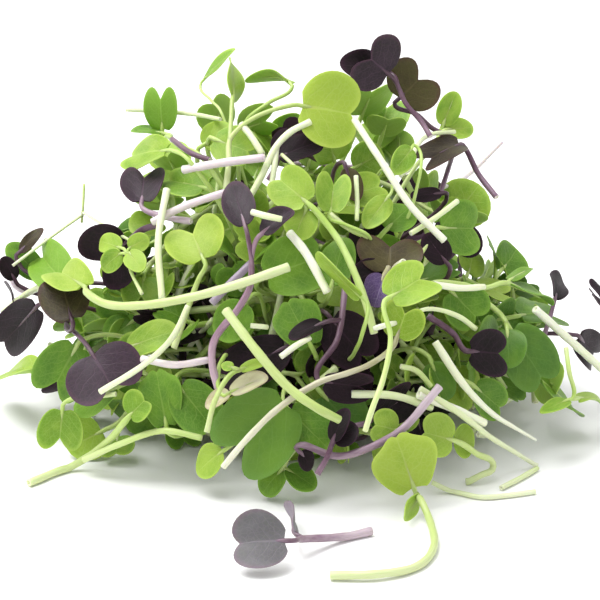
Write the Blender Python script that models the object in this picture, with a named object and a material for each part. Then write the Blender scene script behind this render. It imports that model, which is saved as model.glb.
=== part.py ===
"""A heap of cut microgreens: mixed cabbage-family sprouts, tumbled into a mound on a table.

Metres, +Z up. The origin is on the table, under the middle of the heap, and the front looks along +Y.
Every sprout is one closed solid: a cut stem that parts into leaf stalks, each with its own seed leaf.
A tangle of green sprouts, grown through one another over a small core, carries the ones that lie on it.
"""
import bisect
import math
import random

import bmesh
import bpy
from mathutils import Matrix, Vector
from mathutils.bvhtree import BVHTree

MM = 0.001

# The mound that the heap's face follows: half its width, half its depth and its height.
MOUND_WIDTH = 78 * MM
MOUND_DEPTH = 60 * MM
MOUND_HEIGHT = 98 * MM
MOUND_SWELL = 1.6
MOUND_WAIST = 0.22

# The core is a low lumpy dome in the middle of the tangle, flat where the heap stands.
CORE_WIDTH = 27 * MM
CORE_DEPTH = 22 * MM
CORE_HEIGHT = 33 * MM
CORE_LUMP = 0.10

# The front view that places are told in: how far it looks down, from where, and at what height.
VIEW_TILT = math.radians(18)
VIEW_DISTANCE = 500 * MM
VIEW_HEIGHT = 27.4 * MM
NEAREST, FURTHEST = 130, -95

# Leaves and stems: how thick a blade is, how thick a leaf's stalk is and how coarse they all are.
BLADE_THICKNESS = 0.7 * MM
STALK_RADIUS = 0.6 * MM
STALK_STATIONS = 3
SHORT_STALK = 3.5 * MM
FAR_FORK = 33 * MM
PIECE_SIDES = 5

# The room that a sprout leaves to the others, and the steps it is moved by until it has that room.
CLEARANCE = 0.3 * MM
NUDGE = 0.8 * MM
MOST_NUDGES = 40
MOST_SINKS = 30
FLOOR_GAP = 0.1 * MM

# Rays of a blade's fan, as angles from its midrib, and how the outline runs out along them.
RAYS = (-1.75, -1.3, -0.85, -0.4, 0, 0.4, 0.85, 1.3, 1.75)
FEW_RAYS = (-1.7, -1.1, -0.5, 0, 0.5, 1.1, 1.7)
HEART_SHOULDER = 0.5
HEART_FALL = 0.75
HEART_POWER = 2.5
NOTCH_DEPTH = 0.22
ROUND_NOTCH_DEPTH = 0.05
NOTCH_WIDTH = 0.3
LOBE_DEPTH = 0.07
LOBE_TURNS = 7

# Leaf looks: colour, roughness.
LOOKS = {
    "light_green": ((0.46, 0.66, 0.12), 0.45),
    "green": ((0.25, 0.48, 0.07), 0.45),
    "deep_green": ((0.11, 0.33, 0.06), 0.45),
    "purple": ((0.08, 0.04, 0.08), 0.5),
    "olive": ((0.12, 0.10, 0.03), 0.5),
    "pale_stem": ((0.74, 0.82, 0.50), 0.4),
    "lilac_stem": ((0.50, 0.36, 0.50), 0.4),
}

# Each sprout lies on the heap's face. A place is millimetres across and up in the front view, and then
# millimetres out from the face. A stem runs from its cut end. A leaf is where its blade begins, where it
# ends, its breadth, which way it faces (across, up, out), and its cup and curl where they aren't slight.
HEART, ROUND, OVAL, LOBED = "heart", "round", "oval", "lobed"
SPROUTS = (
    ("tall_fork", "light_green", 1.5, ((-18.5, 27.5, 1), (-17.8, 34, 2), (-17, 41, 2)), (
        (ROUND, (0.8, 48.5, 4), (14.5, 46.5, 6), 17.5, (0, 0.1, 1)),
        (OVAL, (-16.8, 51, 0), (-15.8, 60, -2), 8, (0.9, 0, 0.4)),
    )),
    ("crown_purple", "purple", 1.3, ((32, 40, 0), (29.5, 44, 0), (26, 48, 0), (22.5, 54.5, 0)), (
        (HEART, (21.5, 55.5, 1), (15.8, 60.5, 2), 15, (-0.2, 0.2, 1)),
        (OVAL, (20.5, 56, -4), (10.8, 58, -6), 9, (0, 0.2, 1)),
    )),
    ("crown_olive", "olive", 1.3, ((39, 40, 2), (33, 43, 2), (29, 46.5, 2), (25.5, 50, 3)), (
        (HEART, (25, 50.5, 3), (31.5, 57, 4), 14, (0.1, 0.1, 1)),
    )),
    ("right_olive", "olive", 1.5, ((48.8, 25.5, 4), (44.3, 31.3, 3), (40, 37.6, 2)), (
        (HEART, (39.5, 38.4, 2), (31, 37, 3), 8.5, (0.1, 0.7, 0.7), 0.3, 0.2),
    )),
    ("curly_stem", "pale_stem", 1.1,
     ((25, 31, 2), (27.5, 33, 3), (28.5, 37, 3), (31.5, 40.8, 3), (38.5, 42, 2)), ()),
    ("long_white_stem", "pale_stem", 1.7,
     ((36, 14.8, 8), (27.5, 23.5, 8), (20, 35, 8), (13.5, 45, 6)), ()),
    ("slant_white_stem", "pale_stem", 1.3, ((39, 24.5, 2), (33, 20, 3), (27.5, 16.5, 3)), ()),
    ("round_pair", "light_green", 1.8,
     ((18.5, -8.3, 9), (17, -2.5, 9), (13.8, 6.3, 8),
      (10, 14.3, 7), (6, 19.8, 6), (2.5, 23.6, 6)), (
        (ROUND, (1.5, 24.5, 6), (-6, 31.2, 6), 10, (0, 0.2, 1)),
        (OVAL, (1.5, 22.5, 4), (-1.5, 15.5, 4), 8, (0, 0.2, 1)),
    )),
    ("spoon_pair", "purple", 1.8,
     ((-20.5, -22, 6), (-22, -15.5, 8), (-21.5, -10.3, 9), (-15, -1.5, 10), (-12.3, 4, 11)), (
        (OVAL, (-13.8, 18.8, 12), (-17.2, 30, 11), 7.5, (0, 0, 1), 0.25),
        (OVAL, (-9.2, 16.8, 12), (-2.2, 23.4, 12), 5.5, (-0.3, 0.7, 0.8), 0.3),
    )),
    ("short_pale_piece", "pale_stem", 1.5, ((-12, 22, 14), (-8.5, 21, 14.5), (-4.6, 20.2, 15)), ()),
    ("stout_white_piece", "pale_stem", 2.0, ((-2.6, 16.8, 7), (1.3, 12, 8), (6.8, 2, 9)), ()),
    ("centre_purple", "purple", 1.7, ((25.7, 9.4, 13), (23.8, 8, 8), (22, 6.8, 4)), (
        (HEART, (22, 7.2, 3), (22.6, 16, 2), 15, (0, 0.1, 1)),
        (OVAL, (20.8, 6, 4), (18.7, -1.2, 6), 7.5, (0.1, 0.2, 1), 0.4),
        (OVAL, (20.6, 8, 2), (13, 4.5, 1), 7, (0, 0.1, 1)),
    )),
    ("right_green_wing", "light_green", 1.3,
     ((15.8, -31.8, 8), (17.5, -26.5, 9), (20.3, -18.8, 9), (22, -9, 8), (22, -1, 7)), (
        (HEART, (22.2, 0.8, 7), (32, 7, 7), 11, (-0.2, 0.5, 0.9)),
    )),
    ("olive_heart_long", "light_green", 1.5,
     ((-19, -41.3, 8), (-12.8, -34, 9), (-4.8, -26.3, 9),
      (5, -20.2, 8), (12, -18, 7), (17.5, -15.8, 6), (23.3, -10, 5)), (
        (HEART, (24, -9, 5), (26.8, -1, 5), 10, (0.1, 0.1, 1)),
    )),
    ("thick_pale_stem", "pale_stem", 2.1,
     ((-18.5, -2.5, 13), (-10.3, -13.3, 14),
      (-2.8, -21.8, 14), (4.5, -27, 14), (9.8, -29.8, 13)), ()),
    ("forked_purple", "purple", 1.5, ((11.3, 5, 0), (11, 0.5, 2), (9.3, -10, 5), (6.8, -18.5, 6)), (
        (HEART, (6.6, -20.3, 6), (18, -22.5, 7), 9, (0.1, -0.6, 0.8), 0.3),
        (OVAL, (5.2, -6, 6), (-2.8, -9, 7), 4.5, (0, 0.6, 0.8), 0.3),
    )),
    ("small_dark_front", "purple", 1.4, ((4.3, -43.3, 10), (6.8, -39, 10), (8, -35.8, 9)), (
        (OVAL, (8.3, -34.8, 9), (11.3, -26.8, 10), 4.5, (-0.5, 0.1, 0.9)),
        (OVAL, (8.6, -35, 8), (14, -31, 9), 6, (0.1, 0.5, 0.9)),
    )),
    ("right_dark_cup", "purple", 1.3, ((13.5, -31.5, 2), (17.5, -30.3, 3), (19, -29.3, 3)), (
        (HEART, (19.5, -28.5, 4), (29, -23.3, 5), 9, (0.3, -0.4, 0.9), 0.3),
    )),
    ("curved_purple_stem", "purple", 1.9,
     ((34.8, -21.6, 11), (31.8, -25.2, 11), (25.8, -32, 10),
      (17.5, -36.8, 10), (9.5, -39, 10), (1, -38, 8)), (
        (OVAL, (0.2, -38.2, 6), (3.2, -42.2, 5), 4.5, (0, 0.5, 0.8)),
    )),
    ("big_deep_heart", "deep_green", 1.7, ((9, -17, -1), (4, -21, 1), (-2.5, -25.4, 4)), (
        (HEART, (-3.8, -26.3, 5), (-18, -40, 6), 18.5, (0.05, 0.15, 1), 0.1, 0.12),
    )),
    ("floor_pair", "green", 1.3, ((0, -35.5, 2), (-3, -39.5, 2)), (
        (OVAL, (-4.6, -42.6, 2), (-9.8, -48.3, 3), 7.5, (0, 0.8, 0.7)),
        (OVAL, (-3.4, -42.4, 2), (4.2, -46.6, 3), 8, (0, 0.9, 0.5)),
    )),
    ("front_lobed", "light_green", 1.9,
     ((7.5, -68.3, 0), (19, -68, 0), (28.5, -66.3, 0),
      (33, -61.8, 0), (32.3, -55, 2), (29.8, -49.3, 8)), (
        (LOBED, (28.2, -46.4, 9), (24.2, -34.6, 11), 15, (0.05, 0.1, 1)),
        (OVAL, (29.3, -49, 6), (26.6, -54.3, 4), 4, (0.9, 0, 0.4)),
    )),
    ("bent_knee", "light_green", 1.6,
     ((41.5, -45.8, 1), (45, -43.9, 2), (48.3, -41.9, 2), (43.9, -38.3, 4), (39, -36.2, 5)), (
        (ROUND, (37.8, -35, 6), (30.4, -32.8, 7), 10, (-0.1, 0.3, 1), 0.3),
        (OVAL, (38.6, -35, 3), (43.8, -35.6, 3), 8, (0.2, 0.2, 1)),
    )),
    ("tapered_white", "pale_stem", 2.0,
     ((59, -35, 0), (53.5, -31.8, 1), (47.8, -28.2, 3), (40.8, -21, 5), (33.8, -10.5, 4)), ()),
    ("low_white", "pale_stem", 1.6,
     ((59.3, -41.5, 0), (53.3, -37.8, 0.5),
      (47.5, -34.2, 3), (38.8, -27.6, 8), (30, -22.2, 8)), ()),
    ("floor_curve", "pale_stem", 1.2,
     ((58.8, -48.3, 0), (52, -49.2, 0), (45.5, -49.6, 0), (38, -47.9, 1), (33, -45.6, 3)), ()),
    ("floor_piece", "pale_stem", 1.3, ((50.3, -47.6, 0), (54.8, -45.2, 0), (59.3, -42.7, 0)), ()),
    ("right_dark_round", "purple", 1.6, ((32, -4, 0), (38.5, -8.6, 2), (42, -12, 3)), (
        (HEART, (43, -12.8, 3), (52.3, -13.6, 4), 11, (0, 0.1, 1), 0.1),
    )),
    ("right_big_pair", "green", 1.5, ((45, 0.5, -8), (50, -3.5, -6), (52.3, -6.5, -4)), (
        (ROUND, (53, -8, -3), (61.5, -21, -1), 13, (0, 0.1, 1)),
        (OVAL, (51.8, -7.6, -2), (52.3, -16.5, 0), 9, (-0.2, 0.2, 1)),
    )),
    ("far_right_white", "pale_stem", 2.0,
     ((58.8, -2.3, 3), (66.3, -9, 4), (73, -15, 4), (79, -20.5, 3)), ()),
    ("drooping_right", "light_green", 1.2, ((66.5, -12, 7), (67.3, -18, 7), (67.3, -23.5, 6)), (
        (OVAL, (67, -25, 5), (60.5, -27.7, 4), 4.5, (0, 0.8, 0.6)),
        (OVAL, (69.6, -24.6, 5), (75.5, -23.5, 4), 4, (0, 0.8, 0.6)),
    )),
    ("far_dark_bud", "purple", 1.2, ((61, -9, -10), (62.6, -4, -10), (63.6, -0.5, -10)), (
        (OVAL, (63.8, 0.6, -10), (65.6, 8, -10), 5.5, (0.2, 0, 1), 0.3),
    )),
    ("thin_white_right", "pale_stem", 1.3,
     ((26.6, -4, 6), (32.5, -2.2, 5), (39.8, -4.2, 4), (44, -7.3, 3)), ()),
    ("high_dark_pair", "purple", 1.2, ((-8, 30, -4), (-6, 33.5, -3)), (
        (OVAL, (-5, 35.8, -2), (5.5, 40.5, -1), 7, (-0.2, 0.5, 0.9)),
        (OVAL, (-5.3, 36, -3), (-2.5, 43, -3), 6, (0.1, 0.2, 1)),
    )),
    ("level_green_stem", "pale_stem", 1.1,
     ((-43.5, 47.6, -3), (-36, 47.2, -3), (-28, 46.6, -3), (-20, 45.2, -3)), ()),
    ("left_purple", "purple", 1.6, ((-27, 19.5, -2), (-33, 20.5, -1), (-37.8, 22.6, 0)), (
        (HEART, (-39.2, 24.6, 0), (-38.6, 33.5, 0), 10.5, (-0.1, 0.1, 1), 0.3),
    )),
    ("high_lilac_stem", "lilac_stem", 2.0, ((-29, 32.4, 2), (-18.8, 34.2, 3), (-8.8, 35.4, 3)), ()),
    ("mid_lilac_stem", "lilac_stem", 1.9,
     ((-36.8, 19.4, 5), (-29.5, 23.1, 5), (-18.8, 26.8, 5)), ()),
    ("left_big_dark", "purple", 1.7, ((-35, 19, -6), (-39.5, 17.5, -4), (-42.5, 15.5, -2)), (
        (HEART, (-43.2, 14.6, -1), (-52, 7.5, 0), 16, (0, 0.1, 1)),
    )),
    ("cress_cross", "light_green", 0.9, ((-39.3, 1.5, 3), (-42, 7, 4), (-43.6, 11.8, 5)), (
        (OVAL, (-44.8, 13, 5), (-50.5, 15.2, 5), 5.2, (0, 0.2, 1)),
        (OVAL, (-44.6, 11.6, 5), (-49.6, 7.6, 5), 5.2, (0, 0.2, 1)),
        (OVAL, (-42.4, 13, 5), (-37.8, 15.6, 5), 4.6, (0, 0.2, 1)),
        (OVAL, (-42.6, 11.8, 5), (-39.2, 7.6, 5), 5, (0, 0.2, 1)),
    )),
    ("upright_pale_stem", "pale_stem", 1.7,
     ((-33.2, 27.6, 7), (-35.3, 15, 7), (-34.4, 0.5, 7)), ()),
    ("yellow_heart", "light_green", 1.5, ((-31.5, -12, 3), (-28, -2, 4), (-25.2, 5.5, 5)), (
        (HEART, (-24.2, 10.3, 5), (-28, 19.6, 5), 14, (0, 0.1, 1), 0.25),
    )),
    ("slant_lilac_stem", "lilac_stem", 1.9, ((-22, -0.8, 7), (-16, 5.5, 7), (-12.2, 9.2, 6)), ()),
    ("long_green_arm", "light_green", 2.2,
     ((-2.8, 8, 0), (-13.8, 4.2, 2), (-25, 1, 4), (-37.5, -1.2, 5), (-47, -1, 4), (-52, 2, 3)), (
        (HEART, (-53, 3.6, 0), (-60.5, 8.8, -3), 9.5, (0, 0.5, 0.9)),
    )),
    ("left_twin_purple", "purple", 1.5, ((-53, 3, -4), (-56.5, -1, -2), (-58.4, -6.8, 1)), (
        (HEART, (-57.2, -4.4, 7), (-60.2, 6, 10), 12, (0, 0.1, 1)),
        (HEART, (-51.7, -13.8, 5), (-46.3, -23, 6), 18, (0, 0.1, 1)),
    )),
    ("left_white_slant", "pale_stem", 1.4,
     ((-50, -23, 11), (-38.3, -15.6, 10), (-32, -9.5, 9), (-28, -1.5, 8)), ()),
    ("hanging_light_heart", "light_green", 1.2,
     ((-46, -23.5, 3), (-52, -24.2, 4), (-56.8, -24.6, 5), (-59, -26.4, 5)), (
        (HEART, (-59.4, -27.8, 5), (-60.4, -37.6, 4), 10.5, (0.1, 0, 1), 0.3),
    )),
    ("left_floor_stem", "light_green", 1.9,
     ((-67.8, -46.4, 0), (-56, -41, 0.5), (-47.5, -34.8, 2), (-43.3, -30.6, 3)), (
        (ROUND, (-42.4, -28.8, 4), (-38.6, -24.5, 4), 8.5, (0.2, 0.7, 0.6), 0.3),
    )),
    ("left_floor_second", "light_green", 1.5,
     ((-54, -40, 3), (-45, -36, 3), (-34.3, -32.7, 2), (-24.5, -34.5, 1)), ()),
    ("pale_fork", "light_green", 1.3, ((-23.3, -33, 13), (-21.2, -25, 13), (-16.4, -18.8, 11)), (
        (OVAL, (-14.8, -17.4, 10.5), (-8.6, -15, 9), 2.6, (0, 0.5, 0.8)),
        (OVAL, (-16.8, -17, 11), (-19.6, -16, 11), 2.4, (0, 0.4, 0.9)),
    )),
    ("loose_purple", "purple", 1.9, ((17.8, -58.5, 0), (8, -59.4, 4), (0, -59.8, 10)), (
        (ROUND, (-4, -60.2, 13), (-16.6, -60.4, 15), 12.5, (0.1, 0.5, 0.85), 0.25),
        (OVAL, (-1.2, -58.4, 11), (-1.6, -50.3, 11), 5, (0.7, 0.1, 0.7)),
    )),
)
# Sprouts of the front that the tangle carries, their stems running in to the core.
CARRIED = (
    ("arched_leaf", "light_green", 1.1, ((-13.8, 44, -8), (-8, 49.2, -7), (-3.4, 53, -6)), (
        (OVAL, (-2.9, 54.5, -6), (-7.4, 60.5, -6), 8, (0.8, 0.5, 0.4), 0.1, 0.9),
    )),
    ("narrow_tip", "light_green", 0.8, ((-19.5, 46.5, -12), (-22.3, 50, -12), (-23.5, 54, -12)), (
        (OVAL, (-23.6, 55.5, -12), (-17, 63.5, -13), 7, (-0.8, 0.5, 0.25)),
    )),
    ("back_round", "light_green", 1.2, ((28, 32, -12), (33, 38, -13), (35, 42, -14)), (
        (OVAL, (35.8, 44, -14), (39, 52, -15), 6, (0, 0, 1)),
        (OVAL, (36.3, 42.6, -14), (43.5, 43.2, -16), 6, (0, 0.3, 1)),
    )),
    ("small_oval_high", "light_green", 0.9, ((29.5, 31, 0), (28, 35, 0)), (
        (OVAL, (27.3, 37, 0), (23.3, 32, 1), 5.5, (0.3, 0.2, 1)),
    )),
    ("right_heart", "green", 1.3, ((28, 9, -2), (32, 14, -1), (35, 18, 0)), (
        (ROUND, (35.5, 18, 0), (45, 18, 1), 13, (0, 0.1, 1)),
    )),
    ("young_heart", "light_green", 1.0, ((17.5, 15.5, 3), (11, 19, 4), (8, 21.6, 4)), (
        (HEART, (7.7, 22.3, 4), (8.8, 31.8, 5), 8, (0, 0.1, 1), 0.5),
    )),
    ("small_oval_mid", "light_green", 0.9, ((22.8, 33, 1), (22, 28, 1)), (
        (OVAL, (21.8, 25.5, 1), (16.5, 18.5, 2), 6, (0.1, 0.3, 1)),
    )),
    ("edge_on_leaf", "light_green", 1.1, ((16.3, -5, 6), (15.6, -1.5, 6)), (
        (OVAL, (14.8, 1, 6), (3.2, 10.8, 6), 8, (-0.6, -0.65, 0.35)),
    )),
    ("small_round_front", "light_green", 1.1, ((29, -35.8, 5), (26, -33.6, 6), (24.5, -32.7, 6)), (
        (ROUND, (24, -32.5, 7), (18.3, -31, 8), 8, (0.1, 0.2, 1)),
    )),
    ("ruffled_small", "green", 1.1, ((-4, -22.5, -2), (-3, -26, 0)), (
        (LOBED, (-2.3, -27.8, 2), (6.8, -36.8, 4), 10, (0.1, 0.1, 1)),
    )),
    ("floor_round", "light_green", 1.2, ((-13, -33.5, 2), (-17.5, -36.4, 2)), (
        (OVAL, (-19.5, -38, 3), (-26.3, -43, 3), 8, (0, 0.6, 0.8)),
    )),
    ("right_reach", "green", 1.4, ((33.5, 4.3, -1), (40, 4, 0), (46, 3, 0), (51, 4, 0)), (
        (OVAL, (52.4, 4, 0), (63.3, 0.8, 0), 7.5, (0, 1, 0.3)),
        (OVAL, (52.4, 4.8, -1), (57.8, 9.2, -1), 4, (-0.3, 0.5, 0.8)),
    )),
    ("left_high_pair", "green", 1.2, ((-24, 35, -2), (-29, 38.2, -2), (-33, 40.8, -2)), (
        (HEART, (-34.3, 42.8, -2), (-35, 53, -3), 8.5, (-0.2, 0, 1)),
        (OVAL, (-34.8, 41.6, -1), (-42, 43, -1), 8, (0, 1, 0.3)),
    )),
    ("left_light_leaf", "light_green", 1.2, ((-27, 34, -1), (-32, 36.5, -1)), (
        (ROUND, (-33, 36.8, -1), (-44, 36, 0), 9, (0, 0.25, 1)),
    )),
    ("curled_pod", "light_green", 1.2, ((-20, -16, 5), (-18, -20, 8)), (
        (OVAL, (-17, -23, 9), (-8.4, -18.6, 9), 4.5, (0, 0.6, 0.8), 0.5),
        (OVAL, (-17.8, -23.4, 9), (-23.8, -26.6, 9), 4.5, (0, 0.6, 0.8), 0.5),
    )),
)
# Leaves deeper in the front of the heap, which the tangle carries: look, the leaf as above.
DEEPER_LEAVES = (
    (ROUND, (-58, 3, -6), (-67, 14, -5), 11, (0, 0.1, 1)),
    (ROUND, (-66, -2, -4), (-76, -12, -3), 11, (-0.1, 0.1, 1)),
    (OVAL, (-65, 6, -6), (-73, 14, -6), 7, (0, 0.2, 1)),
    (HEART, (-56, -12, -3), (-63, -24, -2), 13, (0, 0.1, 1)),
    (OVAL, (-66, -18, -2), (-77, -16, -3), 9, (0, 0.8, 0.6)),
    (OVAL, (-46, -22, -1), (-57, -27.5, 0), 8, (0, 0.5, 0.8)),
    (LOBED, (-33.5, -31, 0), (-36, -18, 1), 10, (0, 0.1, 1)),
    (ROUND, (-30, -22, -2), (-22, -32, 0), 11, (0, 0.2, 1)),
    (OVAL, (-43, -12, -2), (-31, -7, -1), 9, (0, 0.6, 0.8)),
    (LOBED, (2.5, -11, 0), (-3, -0.5, 1), 11, (0, 0.1, 1)),
    (OVAL, (-14, -1, 0), (-20, -10, 1), 9, (0, 0.2, 1)),
    (ROUND, (-8, 6, -3), (5.5, 11, -2), 14, (0, 0.2, 1)),
    (OVAL, (8, 4, -1), (11, 16, -1), 9, (-0.4, 0, 1)),
    (ROUND, (-24, 28, -3), (-34, 31, -2), 9, (0, 0.5, 0.9)),
    (ROUND, (-21, 40, -5), (-12, 37, -4), 10, (0, 0.2, 1)),
    (OVAL, (-24, 39, -5), (-17.5, 44, -5), 7, (0, 0.3, 1)),
    (ROUND, (12, 26, -3), (21, 29, -2), 9, (0, 0.3, 1)),
    (OVAL, (22, 18, -2), (28, 24, -2), 8, (0, 0.3, 1)),
    (ROUND, (38, 2, -3), (45, -5, -2), 11, (0, 0.2, 1)),
    (OVAL, (33, -16, -2), (37, -25, -1), 7, (-0.3, 0.1, 1)),
    (HEART, (56, -4, -6), (67, -2, -6), 11, (0, 0.5, 0.8)),
    (OVAL, (60, -20, -2), (72, -28, -1), 9, (0, 0.7, 0.7)),
    (ROUND, (44, -22, -2), (51, -27.5, -2), 9, (0, 0.4, 0.9)),
    (HEART, (6, -24, -3), (14, -33, -2), 12, (0, 0.2, 1)),
)
# Purple sprouts round the sides and the back, each like one of the front ones, turned by degrees.
TURNED = (
    ("curved_purple_stem", 235), ("left_big_dark", 215), ("right_dark_round", 165), ("forked_purple", 140),
    ("spoon_pair", 190), ("left_purple", 245), ("small_dark_front", 95), ("right_dark_cup", 250),
)
# The tangle's own green sprouts, drawn by lot round the whole heap.
TANGLE_SEED = 11
TANGLE_DRAWS = 600
TANGLE_SPROUTS = 34
LEAF_BREADTHS = (9, 14)


def seen(across, up, toward, turn=0.0):
    """The point that shows at (across, up), mm at the heap's axis, and lies that far toward the viewer."""
    shrink = 1 - toward * MM / VIEW_DISTANCE
    right, rise, out = across * shrink * MM, up * shrink * MM, toward * MM
    level = rise * math.sin(VIEW_TILT) - out * math.cos(VIEW_TILT)
    height = VIEW_HEIGHT + rise * math.cos(VIEW_TILT) + out * math.sin(VIEW_TILT)
    return Matrix.Rotation(turn, 3, "Z") @ Vector((right, level, height))


def view_direction(across, up, out, turn=0.0):
    """A direction told in the view, as a direction in the heap's frame."""
    level = up * math.sin(VIEW_TILT) - out * math.cos(VIEW_TILT)
    height = up * math.cos(VIEW_TILT) + out * math.sin(VIEW_TILT)
    return Matrix.Rotation(turn, 3, "Z") @ Vector((across, level, height))


def inside_mound(point):
    """Above 0 inside the mound that the heap's face follows, falling outward."""
    height = max(point.z / MOUND_HEIGHT, 0)
    profile = 1 - height ** MOUND_SWELL
    return profile - math.hypot(point.x / MOUND_WIDTH, point.y / MOUND_DEPTH)


def on_face(place, turn=0.0):
    """Where a place told in the view lies on the heap's face, or on the table in front of it."""
    across, up, lift = place
    best, best_inside = NEAREST, -math.inf
    for toward in range(NEAREST, FURTHEST, -1):
        point = seen(across, up, toward, turn)
        if point.z < 0:
            break
        depth = inside_mound(point)
        if depth > best_inside:
            best, best_inside = toward, depth
        if depth > 0:
            break
    return seen(across, up, best + lift, turn)


def smooth_path(points, stations):
    """One smooth curve through the points, as evenly spaced stations."""
    ways = [(b - a).normalized() for a, b in zip(points, points[1:])]
    leads = [(a + b).normalized() for a, b in zip([ways[0], *ways], [*ways, ways[-1]])]
    dense = []
    for a, b, leave, arrive in zip(points, points[1:], leads, leads[1:]):
        reach = (b - a).length
        for i in range(8):
            t = i / 8
            ease = t * t * (3 - 2 * t)
            pull = leave * (t * (1 - t) ** 2) - arrive * (t * t * (1 - t))
            dense.append(a + (b - a) * ease + pull * reach)
    dense.append(points[-1])
    runs = [0.0]
    for a, b in zip(dense, dense[1:]):
        runs.append(runs[-1] + (b - a).length)
    path = []
    for i in range(stations):
        want = runs[-1] * i / (stations - 1)
        k = min(max(bisect.bisect_left(runs, want), 1), len(runs) - 1)
        share = (want - runs[k - 1]) / (runs[k] - runs[k - 1])
        path.append(dense[k - 1].lerp(dense[k], share))
    return path


def on_table(point, radius):
    """The point, raised where something of that radius would sink into the table."""
    return Vector((point.x, point.y, max(point.z, radius + FLOOR_GAP)))


def tube(path, radii, sides, last_side=None, last_tangent=None):
    """The rings of a round bar along a path, its side faces and the cap at its start."""
    path = [on_table(point, radius) for point, radius in zip(path, radii)]
    steps = [(b - a).normalized() for a, b in zip(path, path[1:])]
    tangents = [(a + b).normalized() for a, b in zip([steps[0], *steps], [*steps, last_tangent or steps[-1]])]
    tangents[-1] = last_tangent or steps[-1]
    side = last_side or tangents[-1].orthogonal().normalized()
    rings = []
    for centre, tangent, radius in reversed(list(zip(path, tangents, radii))):
        side = (side - side.dot(tangent) * tangent).normalized()
        other = tangent.cross(side)
        turns = [2 * math.pi * k / sides for k in range(sides)]
        rings.append([centre + radius * (math.cos(t) * side + math.sin(t) * other) for t in turns])
    points = [point for ring in reversed(rings) for point in ring]
    faces = []
    for ring in range(len(path) - 1):
        for k in range(sides):
            a, b = ring * sides + k, ring * sides + (k + 1) % sides
            faces += [(a, b, b + sides), (a, b + sides, a + sides)]
    faces += [(0, k + 1, k) for k in range(1, sides - 1)]
    return points, faces


def bare_stem(path, radii, sides):
    points, faces = tube(path, radii, sides)
    last = len(points) - sides
    return points, faces + [(last, last + k, last + k + 1) for k in range(1, sides - 1)]


def outline_reach(kind, ray):
    """How far a blade's outline runs out along a ray, as a share of its length."""
    if kind == OVAL:
        return max(math.cos(ray * math.pi / 2 / 1.9), 0.05)
    reach = math.cos(HEART_FALL * (abs(ray) - HEART_SHOULDER)) ** HEART_POWER
    if kind == LOBED:
        return reach * (1 + LOBE_DEPTH * math.cos(LOBE_TURNS * ray))
    depth = NOTCH_DEPTH if kind == HEART else ROUND_NOTCH_DEPTH
    return reach - depth * math.exp(-((ray / NOTCH_WIDTH) ** 2))


def limb(path, radii, leaf, thickness, rays):
    """A stem or stalk that ends in a thin blade, as one closed solid: a fan of rays alike on both faces."""
    kind, base, tip, breadth, facing, cup, curl = leaf
    length = (tip - base).length
    along = (tip - base).normalized()
    normal = (facing - facing.dot(along) * along).normalized()
    across = normal.cross(along)
    arrival = (path[-1] - path[-2]).normalized()
    into = along if arrival.dot(along) > 0.3 else (arrival + along).normalized()
    points, faces = tube(path, radii, 4, across, into)
    first = len(points)
    right, top, left, bottom = range(first - 4, first)
    reaches = [outline_reach(kind, ray) for ray in rays]
    longest = max(reach * math.cos(ray) for reach, ray in zip(reaches, rays))
    widest = max(reach * math.sin(ray) for reach, ray in zip(reaches, rays))
    for reach, ray in zip(reaches, rays):
        x = reach * math.cos(ray) / longest
        y = reach * math.sin(ray) / widest
        rise = cup * y * y * breadth / 2 - curl * x * abs(x) * length
        aside = y * breadth / 2
        if abs(ray) > 1.5 and abs(aside) < 1.3 * radii[-1]:
            aside = math.copysign(1.3 * radii[-1], ray)
        middle = base + along * x * length + across * aside + normal * rise
        middle = on_table(middle, abs(normal.z) * thickness / 2)
        points += [middle + normal * thickness / 2, middle - normal * thickness / 2]
    last = len(points) - 2
    faces += [(top, left, first), (bottom, first + 1, left), (first, left, first + 1)]
    faces += [(top, last, right), (bottom, right, last + 1), (right, last, last + 1)]
    for p in range(first, last, 2):
        faces += [(top, p, p + 2), (bottom, p + 3, p + 1), (p + 2, p, p + 1), (p + 2, p + 1, p + 3)]
    return points, faces


def placed_leaf(leaf, turn, offset):
    """A leaf of the tables as (kind, base, tip, breadth, facing, cup, curl) in the heap's frame."""
    kind, base, tip, breadth, facing, *shape = leaf
    cup, curl = shape + [0.15, 0.1][len(shape):]
    base, tip = on_face(base, turn) + offset, on_face(tip, turn) + offset
    return kind, base, tip, breadth * MM, view_direction(*facing, turn), cup, curl


def leaf_path(points, leaf, stations):
    """A stem's or stalk's stations, of which the last two lead straight into a leaf's base."""
    base, tip = leaf[1], leaf[2]
    while len(points) > 2 and (base - points[-1]).length < SHORT_STALK:
        points = points[:-1]
    reach = (base - points[-1]).length
    if reach < SHORT_STALK:
        return [*points, base]
    lead = base - (tip - base).normalized() * min(2 * MM, 0.4 * reach)
    return [*smooth_path([*points, lead], stations - 1), base]


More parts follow.
